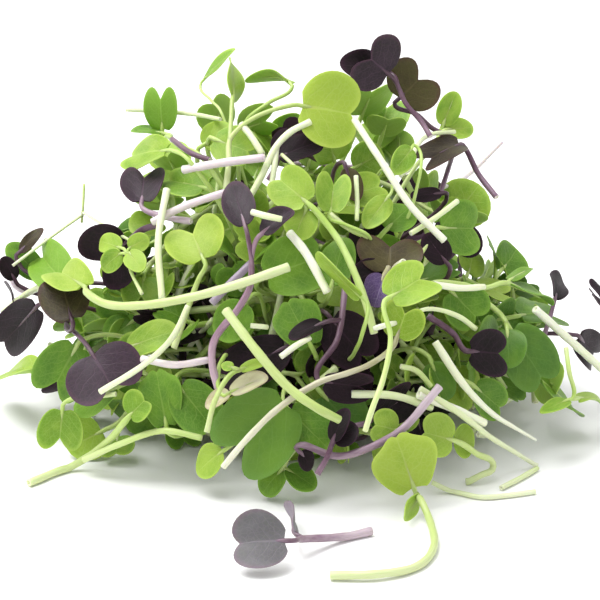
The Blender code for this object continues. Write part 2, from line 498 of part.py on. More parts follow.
def sprout_solids(row, turn, rooted, offset=Vector(), grow=0.0):
    """A sprout's closed solids: its stem with its first leaf, then a stalk with each other leaf."""
    _, _, width, stem, leaves = row
    points = [on_face(place, turn) + offset for place in stem]
    if rooted:
        points.insert(0, core_root(points[0]))
    root, head = width * MM / 2, width * MM * 0.42
    if not leaves:
        path = smooth_path(points, len(points) + 3)
        return [bare_stem(path, [root + grow] * len(path), PIECE_SIDES)]
    stations = len(points) + 3
    radii = [root + (head - root) * i / (stations - 2) + grow for i in range(stations - 1)]
    radii.append(STALK_RADIUS + grow)
    thickness = BLADE_THICKNESS + 2 * grow
    first, *others = (placed_leaf(leaf, turn, offset) for leaf in leaves)
    path = leaf_path(points, first, stations)
    solids = [limb(path, radii, first, thickness, RAYS)]
    for leaf in others:
        fork = leaf_path([fork_point(path, points[-1], leaf)], leaf, STALK_STATIONS)
        solids.append(limb(fork, [STALK_RADIUS + grow] * len(fork), leaf, thickness, RAYS))
    return solids


def fork_point(path, head, leaf):
    """Where another stalk leaves a stem: a little before its head, or else where it needs to turn least."""
    base, along = leaf[1], (leaf[2] - leaf[1]).normalized()
    nearest = min(range(1, len(path) - 1), key=lambda i: (path[i] - head).length)
    fork = path[nearest].lerp(path[nearest - 1], 0.3)
    if (base - fork).normalized().dot(along) > 0.3:
        return fork

    def ease(point):
        reach = base - point
        return reach.normalized().dot(along) - reach.length / FAR_FORK

    return max(path[1:], key=ease)


def core_root(point):
    """A point well inside the core, for a stem that leads out to this one."""
    height = min(max(point.z * 0.3, 6 * MM), 0.5 * CORE_HEIGHT)
    return Vector((point.x * 0.2, point.y * 0.2, height))


def tree_of(solids):
    """One search tree over several solids."""
    points, faces = [], []
    for solid_points, solid_faces in solids:
        faces += [tuple(i + len(points) for i in face) for face in solid_faces]
        points += solid_points
    return BVHTree.FromPolygons(points, faces)


def blade_tree(solids, rays):
    """A search tree over the blades alone."""
    trimmed = []
    for points, faces in solids:
        first = len(points) - 2 * len(rays)
        trimmed.append((points, [face for face in faces if max(face) >= first]))
    return tree_of(trimmed)


def crosses(tree, others):
    return any(tree.overlap(other) for other in others)


def rest_on(row, turn, rooted, placed):
    """The sprout's solids, brought out toward the viewer until they clear the ones that are placed."""
    step = view_direction(0, 0, 1, turn) * NUDGE
    for nudges in range(MOST_NUDGES):
        fat = tree_of(sprout_solids(row, turn, rooted, step * nudges, CLEARANCE))
        if not crosses(fat, placed):
            return sprout_solids(row, turn, rooted, step * nudges)
    raise ValueError(f"{row[0]} finds no clear place")


def sink_in(leaf, own):
    """A deeper leaf's solids, moved away from the viewer until they clear the sprouts of their own."""
    for sinks in range(MOST_SINKS):
        solids = deeper_solids(leaf, view_direction(0, 0, -1) * NUDGE * sinks)
        if not crosses(tree_of(solids), own):
            return solids
    raise ValueError(f"the leaf at {leaf[1]} finds no clear place")


def core_solid():
    """The lumpy dome in the middle of the tangle, with a flat underside."""
    sides, rings = 14, 5
    points = [Vector((0, 0, 0))]
    for ring in range(rings):
        climb = ring / rings * math.pi / 2
        for k in range(sides):
            turn = 2 * math.pi * k / sides
            lump = 1 + CORE_LUMP * math.sin(3 * turn + 2 * ring) * (ring > 0)
            reach = math.cos(climb) * lump
            points.append(Vector((
                CORE_WIDTH * reach * math.cos(turn),
                CORE_DEPTH * reach * math.sin(turn),
                CORE_HEIGHT * math.sin(climb),
            )))
    top = len(points)
    points.append(Vector((0, 0, CORE_HEIGHT)))
    faces = []
    for k in range(sides):
        a, b = 1 + k, 1 + (k + 1) % sides
        faces.append((0, b, a))
        for ring in range(rings - 1):
            low, high = ring * sides, (ring + 1) * sides
            faces += [(a + low, b + low, b + high), (a + low, b + high, a + high)]
        faces.append((a + (rings - 1) * sides, b + (rings - 1) * sides, top))
    return points, faces


def drawn_in(height):
    """How far out a drawn sprout's head lies at a share of the heap's height: less around the middle."""
    return (1 - height**MOUND_SWELL) * (1 - MOUND_WAIST * math.sin(math.pi * height))


def tangle_sprout(lot):
    """One drawn sprout of the tangle, as (stem points, width, leaves), from the core to the heap's face."""
    turn = lot.triangular(-math.pi / 2, 3 * math.pi / 2, math.pi / 2)
    height = lot.triangular(0.03, 0.8, 0.2)
    lean = lot.uniform(-1.3, 1.3)
    share = lot.uniform(0.72, 0.93)
    sag = lot.uniform(-6, 8) * MM
    width = lot.uniform(1.3, 1.9) * MM
    reach = share * drawn_in(height)
    head = Vector((
        MOUND_WIDTH * reach * math.cos(turn),
        MOUND_DEPTH * reach * math.sin(turn),
        MOUND_HEIGHT * height * share + 3 * MM,
    ))
    low = 0.15 + 0.5 * height
    root = Vector((
        CORE_WIDTH * 0.6 * (1 - low**2) * math.cos(turn + lean),
        CORE_DEPTH * 0.6 * (1 - low**2) * math.sin(turn + lean),
        CORE_HEIGHT * low,
    ))
    middle = (root + head) / 2 + Vector((0, 0, sag))
    outward = (head - middle).normalized()
    sideways = outward.cross(Vector((0, 0, 1))).normalized()
    leaves = []
    for side in (-1, 1):
        spread = lot.uniform(0.5, 1.1) * side
        lift = Vector((0, 0, lot.uniform(-0.2, 0.6)))
        breadth = lot.uniform(*LEAF_BREADTHS) * MM
        kind = lot.choice((HEART, ROUND, ROUND, OVAL))
        direction = (outward * math.cos(spread) + sideways * math.sin(spread) + lift).normalized()
        base = head + direction * 2.5 * MM
        facing = outward * lot.uniform(0.2, 1) + Vector((0, 0, lot.uniform(0.3, 1)))
        leaves.append((kind, base, base + direction * breadth * 0.8, breadth, facing, 0.15, 0.1))
    return [root, middle, head], width, leaves


def tangle_solids(stem, width, leaves):
    """The closed solids of a drawn sprout: its stem with one leaf, and a stalk with the other."""
    first, second = leaves
    path = leaf_path(stem, first, 5)
    radii = [width / 2] * 4 + [STALK_RADIUS]
    fork = [fork_point(path, stem[-1], second), second[1]]
    return [
        limb(path, radii, first, BLADE_THICKNESS, FEW_RAYS),
        limb(fork, [STALK_RADIUS] * 2, second, BLADE_THICKNESS, FEW_RAYS),
    ]


def deeper_solids(leaf, offset):
    """A leaf deeper in the front of the heap, on a stem out of the core."""
    leaf = placed_leaf(leaf, 0.0, offset)
    root = core_root(leaf[1])
    middle = (root + leaf[1]) / 2 + Vector((0, 0, 4 * MM))
    path = leaf_path([root, middle], leaf, 5)
    return [limb(path, [0.8 * MM] * 4 + [STALK_RADIUS], leaf, BLADE_THICKNESS, RAYS)]


def mesh_object(name, points, faces):
    mesh = bpy.data.meshes.new(name)
    mesh.from_pydata(points, [], faces)
    mesh.update()
    obj = bpy.data.objects.new(name, mesh)
    bpy.context.scene.collection.objects.link(obj)
    return obj


def material(look):
    """The Principled material of a look, made once."""
    found = bpy.data.materials.get(look)
    if found:
        return found
    colour, roughness = LOOKS[look]
    made = bpy.data.materials.new(look)
    made.use_nodes = True
    shader = made.node_tree.nodes["Principled BSDF"]
    shader.inputs["Base Color"].default_value = (*colour, 1)
    shader.inputs["Roughness"].default_value = roughness
    shader.inputs["Metallic"].default_value = 0.0
    return made


def is_closed(mesh):
    """True where every edge has two faces and there is something to close."""
    checked = bmesh.new()
    checked.from_mesh(mesh)
    closed = len(checked.faces) > 0 and all(len(edge.link_faces) == 2 for edge in checked.edges)
    checked.free()
    return closed


def drop_hollows(mesh):
    """Leaves only the outer skin where a union has closed small hollows between its solids."""
    skin = bmesh.new()
    skin.from_mesh(mesh)
    left = set(skin.faces)
    shells = []
    while left:
        front = [left.pop()]
        shell = list(front)
        while front:
            near = {face for edge in front.pop().edges for face in edge.link_faces} & left
            left -= near
            front += near
            shell += near
        shells.append(shell)
    largest = max(shells, key=len)
    loose = [face for shell in shells if shell is not largest for face in shell]
    bmesh.ops.delete(skin, geom=loose, context="FACES")
    skin.to_mesh(mesh)
    skin.free()


def cut_end(row, solids):
    """The middle of the face where a sprout's stem is cut."""
    sides = 4 if row[4] else PIECE_SIDES
    return sum(solids[0][0][:sides], Vector()) / sides


def fused(name, solids, look, solver, origin):
    """One object, placed at its origin, from several overlapping solids joined by a Boolean union."""
    obj = mesh_object(name, *solids[0])
    parts = bpy.data.collections.new(name + "_parts")
    bpy.context.scene.collection.children.link(parts)
    for number, solid in enumerate(solids[1:]):
        piece = mesh_object(f"{name}_part{number}", *solid)
        bpy.context.scene.collection.objects.unlink(piece)
        parts.objects.link(piece)
    if parts.objects:
        union = obj.modifiers.new("union", "BOOLEAN")
        union.operation = "UNION"
        union.operand_type = "COLLECTION"
        union.collection = parts
        union.solver = solver
        graph = bpy.context.evaluated_depsgraph_get()
        joined = bpy.data.meshes.new_from_object(obj.evaluated_get(graph))
        if solver == "EXACT" and not is_closed(joined):
            union.solver = "MANIFOLD"
            graph.update()
            joined = bpy.data.meshes.new_from_object(obj.evaluated_get(graph))
        obj.modifiers.clear()
        drop_hollows(joined)
        obj.data = joined
    for piece in list(parts.objects):
        bpy.data.objects.remove(piece)
    bpy.data.collections.remove(parts)
    obj.data.materials.clear()
    obj.data.materials.append(material(look))
    obj.data.shade_smooth()
    obj.data.set_sharp_from_angle(angle=math.radians(50))
    obj.data.transform(Matrix.Translation(-origin))
    obj.location = origin
    return obj


def nearness(row, turn):
    """How far out toward its own viewer a sprout lies, for laying the heap from the inside out."""
    _, _, _, stem, leaves = row
    places = list(stem) + [leaf[2] for leaf in leaves]
    out = view_direction(0, 0, 1, turn)
    return sum(on_face(place, turn).dot(out) for place in places) / len(places)


def build():
    for obj in list(bpy.data.objects):
        bpy.data.objects.remove(obj)
    rows = {row[0]: row for row in SPROUTS}
    order = [(row, 0.0, False) for row in SPROUTS] + [(row, 0.0, True) for row in CARRIED]
    order += [(rows[name], math.radians(turn), False) for name, turn in TURNED]
    order.sort(key=lambda entry: nearness(*entry[:2]))
    core = core_solid()
    tangle, core_tree = [core], tree_of([core])
    placed, own, blades = [], [], []
    for row, turn, rooted in order:
        solids = rest_on(row, turn, rooted, placed + [core_tree] * (not rooted))
        placed.append(tree_of(solids))
        if rooted:
            tangle += solids
            blades.append(blade_tree(solids, RAYS))
            continue
        own.append(placed[-1])
        suffix = f"_turned_{round(math.degrees(turn))}" if turn else ""
        fused(row[0] + suffix, solids, row[1], "EXACT", cut_end(row, solids))
    for leaf in DEEPER_LEAVES:
        solids = sink_in(leaf, own)
        tangle += solids
        blades.append(blade_tree(solids, RAYS))
    lot, kept = random.Random(TANGLE_SEED), 0
    for _ in range(TANGLE_DRAWS):
        solids = tangle_solids(*tangle_sprout(lot))
        tree = blade_tree(solids, FEW_RAYS)
        if kept == TANGLE_SPROUTS or crosses(tree_of(solids), own) or crosses(tree, blades):
            continue
        tangle += solids
        blades.append(tree)
        kept += 1
    fused("green_tangle", tangle, "green", "MANIFOLD", Vector())


build()
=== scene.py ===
"""The looks of a heap of cut microgreens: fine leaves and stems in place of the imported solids.

The camera looks from the photograph's place, a little down on the heap. Lengths are metres and places in
the tables are millimetres in that view, as in the part's own source, so that each fine sprout lies where
its solid does. Where a solid was brought out to clear the others, the fine one finds it there.
"""

import math
import random

import bpy
import numpy as np
from mathutils import Matrix, Vector
from mathutils.bvhtree import BVHTree


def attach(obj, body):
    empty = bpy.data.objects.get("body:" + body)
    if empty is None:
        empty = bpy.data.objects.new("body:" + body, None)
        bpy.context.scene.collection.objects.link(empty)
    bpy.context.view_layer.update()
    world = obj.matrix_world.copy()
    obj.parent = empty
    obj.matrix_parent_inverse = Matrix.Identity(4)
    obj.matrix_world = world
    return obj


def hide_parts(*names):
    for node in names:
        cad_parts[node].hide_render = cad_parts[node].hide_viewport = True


MM = 0.001

# The mound that the heap's face follows, and the core in its middle, as in the part's source.
MOUND_WIDTH = 78 * MM
MOUND_DEPTH = 60 * MM
MOUND_HEIGHT = 98 * MM
MOUND_SWELL = 1.6
MOUND_WAIST = 0.22
CORE_WIDTH = 27 * MM
CORE_DEPTH = 22 * MM
CORE_HEIGHT = 33 * MM
# How far in and how high a stem is rooted in the core, as shares of the place that it leads out to.
ROOT_DRAW, ROOT_RISE = 0.2, 0.3
LOWEST_ROOT, HIGHEST_ROOT = 6 * MM, 0.5 * CORE_HEIGHT

# The front view that places are told in, which is also the camera's.
VIEW_TILT = math.radians(18)
VIEW_DISTANCE = 500 * MM
VIEW_HEIGHT = 27.4 * MM
NEAREST, FURTHEST = 130, -95
SENSOR_WIDTH = 36
CAMERA_LENS = 120
CLIP_START = 0.01

# The table and the light in the room.
TABLE_REACH = 3
TABLE_COLOUR = (0.93, 0.93, 0.93)
TABLE_ROUGHNESS = 0.6
ROOM_LIGHT = 0.9
WINDOW_PLACE = (-0.3, 0.0, 0.75)
WINDOW_SIZE = 0.6
WINDOW_POWER = 8

# The steps in which solids were brought out along the view, and how near a drawn sprout's rims lie to the
# solid that it stands for.
NUDGE = 0.8 * MM
MOST_NUDGES = 40
SAME_PLACE = 0.15 * MM
PROBE_RAYS = (-0.85, 0, 0.85)

# How near the table things lie: the gap under them, and how high above it the middle of a blade stays, about
# so for the solids and exactly so for the fine ones.
FLOOR_GAP = 0.1 * MM
SOLID_REST = 0.3 * MM
FINE_REST = 0.35 * MM

# How a stalk is led into its leaf, and where it leaves a stem.
SHORT_STALK = 3.5 * MM
LONGEST_LEAD = 2 * MM
LEAD_SHARE = 0.4
FAR_FORK = 33 * MM
EASY_TURN = 0.3
STEM_ARCH = 4 * MM

# Leaf outlines, as in the part's source.
HEART, ROUND, OVAL, LOBED = "heart", "round", "oval", "lobed"
COARSE_RAYS = (-1.75, -1.3, -0.85, -0.4, 0, 0.4, 0.85, 1.3, 1.75)
FEW_RAYS = (-1.7, -1.1, -0.5, 0, 0.5, 1.1, 1.7)
WIDEST_RAY = 1.75
SLIGHT_CUP, SLIGHT_CURL = 0.15, 0.1
OVAL_SPREAD = 1.9
OVAL_LEAST = 0.05
HEART_SHOULDER = 0.5
HEART_FALL = 0.75
HEART_POWER = 2.5
NOTCH_DEPTH = 0.22
ROUND_NOTCH_DEPTH = 0.05
NOTCH_WIDTH = 0.3
LOBE_DEPTH = 0.07
LOBE_TURNS = 7

# How fine the leaves and the stems are. The last three are a blade's rings and rays, a stem's sides and the
# spacing of its rings: for sprouts that are seen, for the tangle's and for those inside the heap.
LEAF_THICKNESS = 0.42 * MM
RIM_THICKNESS = 0.2 * MM
STALK_RADIUS = 0.55 * MM
HEAD_SHARE = 0.42
FORK_LEAD, FORK_RUN, FORK_SWELL = 1.7 * MM, 1.6 * MM, 1.2
RIB_TIP = 0.16 * MM
RIB_DEPTH = 0.2 * MM
RIB_PLACES = (0.25, 0.55, 0.85)
OVAL_RIB, NOTCHED_RIB = 0.85, 0.62
FIRST_RING, RING_CROWDING = 0.02, 0.85
BARE_PLACES, BARE_WIDTHS = (0, 0.8, 1), (0.97, 0.92)
CURVE_STEPS = 8
FEWEST_RINGS = 4
CREASE_ANGLE = math.radians(62)
FINE = ((11, 37), 12, 0.9 * MM)
PLAIN = ((7, 23), 8, 1.6 * MM)
PLAINEST = ((7, 23), 8, 1.8 * MM)

# How far the colours of a bare stem run on toward those at the leaves, and where a side stalk's begin.
BARE_GROWTH = 0.6
STALK_GROWTH = 0.85

# How leaves wave, as shares of their length, and how stems wobble, as a share of their width.
WAVES = 5
MARGIN_WAVE = 0.028
FACE_WAVE = 0.026
TWIST = 0.08
STEM_WOBBLE = 0.035
WOBBLE_PACE = 0.9
# A direction that no stem starts in, from which its sides are counted.
STEM_SIDEWAYS = (0.31, 0.17, 0.93)
# The rings past a stem's end, as shares of its radius across and out: a cut face with a hollow, and a tip.
CUT_END = ((0.86, 0.10), (0.5, 0.04), (0.34, -0.35))
BLUNT_END = ((0.7, 0.4),)

# How a leaf's finish changes over it: how much its own age and its patches count, and the strength of the
# colours at the margin, on the fine net and on the underside.
OWN_AGE, PATCH_AGE, YOUNGER = 0.6, 1.1, -0.25
MARGIN_TINT, NET_TINT, UNDER_TINT = 0.55, 0.4, 0.65
# Bump strength and depth, and how light goes through: the radius for each colour, and its scale.
LEAF_BUMP, STEM_BUMP = (0.35, 0.15 * MM), (0.25, 0.1 * MM)
LEAF_GLOW, STEM_GLOW = ((0.7, 1.0, 0.25), 1.2 * MM), ((0.8, 1.0, 0.5), 1.0 * MM)
STEM_GLOW_WEIGHT = 0.4
STEM_ROUGHNESS = 0.33
# How strongly streaks and blotches colour a stem.
STEM_TINT = 0.25
# Side veins: how many there are along a leaf, how they lean and bow, and how far they stray.
SIDE_VEINS, VEIN_LEAN, VEIN_BOW, VEIN_STRAY = 4.2, 0.42, 0.12, 0.22
MIDRIB_STRAY = 0.05
NET_CELLS = 11.0

# The sprouts of the part's source, as name, look, width of the stem, its points and its leaves. A place is
# millimetres across and up in the front view, and then millimetres out from the face. A stem runs from its
# cut end. A leaf is its kind, where its blade begins, where it ends, its breadth, which way it faces
# (across, up, out), and its cup and curl where they aren't slight.
SPROUTS = (
    ("tall_fork", "light_green", 1.5, ((-18.5, 27.5, 1), (-17.8, 34, 2), (-17, 41, 2)), (
        (ROUND, (0.8, 48.5, 4), (14.5, 46.5, 6), 17.5, (0, 0.1, 1)),
        (OVAL, (-16.8, 51, 0), (-15.8, 60, -2), 8, (0.9, 0, 0.4)),
    )),
    ("crown_purple", "purple", 1.3, ((32, 40, 0), (29.5, 44, 0), (26, 48, 0), (22.5, 54.5, 0)), (
        (HEART, (21.5, 55.5, 1), (15.8, 60.5, 2), 15, (-0.2, 0.2, 1)),
        (OVAL, (20.5, 56, -4), (10.8, 58, -6), 9, (0, 0.2, 1)),
    )),
    ("crown_olive", "olive", 1.3, ((39, 40, 2), (33, 43, 2), (29, 46.5, 2), (25.5, 50, 3)), (
        (HEART, (25, 50.5, 3), (31.5, 57, 4), 14, (0.1, 0.1, 1)),
    )),
    ("right_olive", "olive", 1.5, ((48.8, 25.5, 4), (44.3, 31.3, 3), (40, 37.6, 2)), (
        (HEART, (39.5, 38.4, 2), (31, 37, 3), 8.5, (0.1, 0.7, 0.7), 0.3, 0.2),
    )),
    ("curly_stem", "pale_stem", 1.1,
     ((25, 31, 2), (27.5, 33, 3), (28.5, 37, 3), (31.5, 40.8, 3), (38.5, 42, 2)), ()),
    ("long_white_stem", "pale_stem", 1.7,
     ((36, 14.8, 8), (27.5, 23.5, 8), (20, 35, 8), (13.5, 45, 6)), ()),
    ("slant_white_stem", "pale_stem", 1.3, ((39, 24.5, 2), (33, 20, 3), (27.5, 16.5, 3)), ()),
    ("round_pair", "light_green", 1.8,
     ((18.5, -8.3, 9), (17, -2.5, 9), (13.8, 6.3, 8),
      (10, 14.3, 7), (6, 19.8, 6), (2.5, 23.6, 6)), (
        (ROUND, (1.5, 24.5, 6), (-6, 31.2, 6), 10, (0, 0.2, 1)),
        (OVAL, (1.5, 22.5, 4), (-1.5, 15.5, 4), 8, (0, 0.2, 1)),
    )),
    ("spoon_pair", "purple", 1.8,
     ((-20.5, -22, 6), (-22, -15.5, 8), (-21.5, -10.3, 9), (-15, -1.5, 10), (-12.3, 4, 11)), (
        (OVAL, (-13.8, 18.8, 12), (-17.2, 30, 11), 7.5, (0, 0, 1), 0.25),
        (OVAL, (-9.2, 16.8, 12), (-2.2, 23.4, 12), 5.5, (-0.3, 0.7, 0.8), 0.3),
    )),
    ("short_pale_piece", "pale_stem", 1.5, ((-12, 22, 14), (-8.5, 21, 14.5), (-4.6, 20.2, 15)), ()),
    ("stout_white_piece", "pale_stem", 2.0, ((-2.6, 16.8, 7), (1.3, 12, 8), (6.8, 2, 9)), ()),
    ("centre_purple", "purple", 1.7, ((25.7, 9.4, 13), (23.8, 8, 8), (22, 6.8, 4)), (
        (HEART, (22, 7.2, 3), (22.6, 16, 2), 15, (0, 0.1, 1)),
        (OVAL, (20.8, 6, 4), (18.7, -1.2, 6), 7.5, (0.1, 0.2, 1), 0.4),
        (OVAL, (20.6, 8, 2), (13, 4.5, 1), 7, (0, 0.1, 1)),
    )),
    ("right_green_wing", "light_green", 1.3,
     ((15.8, -31.8, 8), (17.5, -26.5, 9), (20.3, -18.8, 9), (22, -9, 8), (22, -1, 7)), (
        (HEART, (22.2, 0.8, 7), (32, 7, 7), 11, (-0.2, 0.5, 0.9)),
    )),
    ("olive_heart_long", "light_green", 1.5,
     ((-19, -41.3, 8), (-12.8, -34, 9), (-4.8, -26.3, 9),
      (5, -20.2, 8), (12, -18, 7), (17.5, -15.8, 6), (23.3, -10, 5)), (
        (HEART, (24, -9, 5), (26.8, -1, 5), 10, (0.1, 0.1, 1)),
    )),
    ("thick_pale_stem", "pale_stem", 2.1,
     ((-18.5, -2.5, 13), (-10.3, -13.3, 14),
      (-2.8, -21.8, 14), (4.5, -27, 14), (9.8, -29.8, 13)), ()),
    ("forked_purple", "purple", 1.5, ((11.3, 5, 0), (11, 0.5, 2), (9.3, -10, 5), (6.8, -18.5, 6)), (
        (HEART, (6.6, -20.3, 6), (18, -22.5, 7), 9, (0.1, -0.6, 0.8), 0.3),
        (OVAL, (5.2, -6, 6), (-2.8, -9, 7), 4.5, (0, 0.6, 0.8), 0.3),
    )),
    ("small_dark_front", "purple", 1.4, ((4.3, -43.3, 10), (6.8, -39, 10), (8, -35.8, 9)), (
        (OVAL, (8.3, -34.8, 9), (11.3, -26.8, 10), 4.5, (-0.5, 0.1, 0.9)),
        (OVAL, (8.6, -35, 8), (14, -31, 9), 6, (0.1, 0.5, 0.9)),
    )),
    ("right_dark_cup", "purple", 1.3, ((13.5, -31.5, 2), (17.5, -30.3, 3), (19, -29.3, 3)), (
        (HEART, (19.5, -28.5, 4), (29, -23.3, 5), 9, (0.3, -0.4, 0.9), 0.3),
    )),
    ("curved_purple_stem", "purple", 1.9,
     ((34.8, -21.6, 11), (31.8, -25.2, 11), (25.8, -32, 10),
      (17.5, -36.8, 10), (9.5, -39, 10), (1, -38, 8)), (
        (OVAL, (0.2, -38.2, 6), (3.2, -42.2, 5), 4.5, (0, 0.5, 0.8)),
    )),
    ("big_deep_heart", "deep_green", 1.7, ((9, -17, -1), (4, -21, 1), (-2.5, -25.4, 4)), (
        (HEART, (-3.8, -26.3, 5), (-18, -40, 6), 18.5, (0.05, 0.15, 1), 0.1, 0.12),
    )),
    ("floor_pair", "green", 1.3, ((0, -35.5, 2), (-3, -39.5, 2)), (
        (OVAL, (-4.6, -42.6, 2), (-9.8, -48.3, 3), 7.5, (0, 0.8, 0.7)),
        (OVAL, (-3.4, -42.4, 2), (4.2, -46.6, 3), 8, (0, 0.9, 0.5)),
    )),
    ("front_lobed", "light_green", 1.9,
     ((7.5, -68.3, 0), (19, -68, 0), (28.5, -66.3, 0),
      (33, -61.8, 0), (32.3, -55, 2), (29.8, -49.3, 8)), (
        (LOBED, (28.2, -46.4, 9), (24.2, -34.6, 11), 15, (0.05, 0.1, 1)),
        (OVAL, (29.3, -49, 6), (26.6, -54.3, 4), 4, (0.9, 0, 0.4)),
    )),
    ("bent_knee", "light_green", 1.6,
     ((41.5, -45.8, 1), (45, -43.9, 2), (48.3, -41.9, 2), (43.9, -38.3, 4), (39, -36.2, 5)), (
        (ROUND, (37.8, -35, 6), (30.4, -32.8, 7), 10, (-0.1, 0.3, 1), 0.3),
        (OVAL, (38.6, -35, 3), (43.8, -35.6, 3), 8, (0.2, 0.2, 1)),
    )),
    ("tapered_white", "pale_stem", 2.0,
     ((59, -35, 0), (53.5, -31.8, 1), (47.8, -28.2, 3), (40.8, -21, 5), (33.8, -10.5, 4)), ()),
    ("low_white", "pale_stem", 1.6,
     ((59.3, -41.5, 0), (53.3, -37.8, 0.5),
      (47.5, -34.2, 3), (38.8, -27.6, 8), (30, -22.2, 8)), ()),
    ("floor_curve", "pale_stem", 1.2,
     ((58.8, -48.3, 0), (52, -49.2, 0), (45.5, -49.6, 0), (38, -47.9, 1), (33, -45.6, 3)), ()),
    ("floor_piece", "pale_stem", 1.3, ((50.3, -47.6, 0), (54.8, -45.2, 0), (59.3, -42.7, 0)), ()),
    ("right_dark_round", "purple", 1.6, ((32, -4, 0), (38.5, -8.6, 2), (42, -12, 3)), (
        (HEART, (43, -12.8, 3), (52.3, -13.6, 4), 11, (0, 0.1, 1), 0.1),
    )),
    ("right_big_pair", "green", 1.5, ((45, 0.5, -8), (50, -3.5, -6), (52.3, -6.5, -4)), (
        (ROUND, (53, -8, -3), (61.5, -21, -1), 13, (0, 0.1, 1)),
        (OVAL, (51.8, -7.6, -2), (52.3, -16.5, 0), 9, (-0.2, 0.2, 1)),
    )),
    ("far_right_white", "pale_stem", 2.0,
     ((58.8, -2.3, 3), (66.3, -9, 4), (73, -15, 4), (79, -20.5, 3)), ()),
    ("drooping_right", "light_green", 1.2, ((66.5, -12, 7), (67.3, -18, 7), (67.3, -23.5, 6)), (
        (OVAL, (67, -25, 5), (60.5, -27.7, 4), 4.5, (0, 0.8, 0.6)),
        (OVAL, (69.6, -24.6, 5), (75.5, -23.5, 4), 4, (0, 0.8, 0.6)),
    )),
    ("far_dark_bud", "purple", 1.2, ((61, -9, -10), (62.6, -4, -10), (63.6, -0.5, -10)), (
        (OVAL, (63.8, 0.6, -10), (65.6, 8, -10), 5.5, (0.2, 0, 1), 0.3),
    )),
    ("thin_white_right", "pale_stem", 1.3,
     ((26.6, -4, 6), (32.5, -2.2, 5), (39.8, -4.2, 4), (44, -7.3, 3)), ()),
    ("high_dark_pair", "purple", 1.2, ((-8, 30, -4), (-6, 33.5, -3)), (
        (OVAL, (-5, 35.8, -2), (5.5, 40.5, -1), 7, (-0.2, 0.5, 0.9)),
        (OVAL, (-5.3, 36, -3), (-2.5, 43, -3), 6, (0.1, 0.2, 1)),
    )),
    ("level_green_stem", "pale_stem", 1.1,
     ((-43.5, 47.6, -3), (-36, 47.2, -3), (-28, 46.6, -3), (-20, 45.2, -3)), ()),
    ("left_purple", "purple", 1.6, ((-27, 19.5, -2), (-33, 20.5, -1), (-37.8, 22.6, 0)), (
        (HEART, (-39.2, 24.6, 0), (-38.6, 33.5, 0), 10.5, (-0.1, 0.1, 1), 0.3),
    )),
    ("high_lilac_stem", "lilac_stem", 2.0, ((-29, 32.4, 2), (-18.8, 34.2, 3), (-8.8, 35.4, 3)), ()),
    ("mid_lilac_stem", "lilac_stem", 1.9,
     ((-36.8, 19.4, 5), (-29.5, 23.1, 5), (-18.8, 26.8, 5)), ()),
    ("left_big_dark", "purple", 1.7, ((-35, 19, -6), (-39.5, 17.5, -4), (-42.5, 15.5, -2)), (
        (HEART, (-43.2, 14.6, -1), (-52, 7.5, 0), 16, (0, 0.1, 1)),
    )),
    ("cress_cross", "light_green", 0.9, ((-39.3, 1.5, 3), (-42, 7, 4), (-43.6, 11.8, 5)), (
        (OVAL, (-44.8, 13, 5), (-50.5, 15.2, 5), 5.2, (0, 0.2, 1)),
        (OVAL, (-44.6, 11.6, 5), (-49.6, 7.6, 5), 5.2, (0, 0.2, 1)),
        (OVAL, (-42.4, 13, 5), (-37.8, 15.6, 5), 4.6, (0, 0.2, 1)),
        (OVAL, (-42.6, 11.8, 5), (-39.2, 7.6, 5), 5, (0, 0.2, 1)),
    )),
    ("upright_pale_stem", "pale_stem", 1.7,
     ((-33.2, 27.6, 7), (-35.3, 15, 7), (-34.4, 0.5, 7)), ()),
    ("yellow_heart", "light_green", 1.5, ((-31.5, -12, 3), (-28, -2, 4), (-25.2, 5.5, 5)), (
        (HEART, (-24.2, 10.3, 5), (-28, 19.6, 5), 14, (0, 0.1, 1), 0.25),
    )),
    ("slant_lilac_stem", "lilac_stem", 1.9, ((-22, -0.8, 7), (-16, 5.5, 7), (-12.2, 9.2, 6)), ()),
    ("long_green_arm", "light_green", 2.2,
     ((-2.8, 8, 0), (-13.8, 4.2, 2), (-25, 1, 4), (-37.5, -1.2, 5), (-47, -1, 4), (-52, 2, 3)), (
        (HEART, (-53, 3.6, 0), (-60.5, 8.8, -3), 9.5, (0, 0.5, 0.9)),
    )),
    ("left_twin_purple", "purple", 1.5, ((-53, 3, -4), (-56.5, -1, -2), (-58.4, -6.8, 1)), (
        (HEART, (-57.2, -4.4, 7), (-60.2, 6, 10), 12, (0, 0.1, 1)),
        (HEART, (-51.7, -13.8, 5), (-46.3, -23, 6), 18, (0, 0.1, 1)),
    )),
    ("left_white_slant", "pale_stem", 1.4,
     ((-50, -23, 11), (-38.3, -15.6, 10), (-32, -9.5, 9), (-28, -1.5, 8)), ()),
    ("hanging_light_heart", "light_green", 1.2,
     ((-46, -23.5, 3), (-52, -24.2, 4), (-56.8, -24.6, 5), (-59, -26.4, 5)), (
        (HEART, (-59.4, -27.8, 5), (-60.4, -37.6, 4), 10.5, (0.1, 0, 1), 0.3),
    )),
    ("left_floor_stem", "light_green", 1.9,
     ((-67.8, -46.4, 0), (-56, -41, 0.5), (-47.5, -34.8, 2), (-43.3, -30.6, 3)), (
        (ROUND, (-42.4, -28.8, 4), (-38.6, -24.5, 4), 8.5, (0.2, 0.7, 0.6), 0.3),
    )),
    ("left_floor_second", "light_green", 1.5,
     ((-54, -40, 3), (-45, -36, 3), (-34.3, -32.7, 2), (-24.5, -34.5, 1)), ()),
    ("pale_fork", "light_green", 1.3, ((-23.3, -33, 13), (-21.2, -25, 13), (-16.4, -18.8, 11)), (
        (OVAL, (-14.8, -17.4, 10.5), (-8.6, -15, 9), 2.6, (0, 0.5, 0.8)),
        (OVAL, (-16.8, -17, 11), (-19.6, -16, 11), 2.4, (0, 0.4, 0.9)),
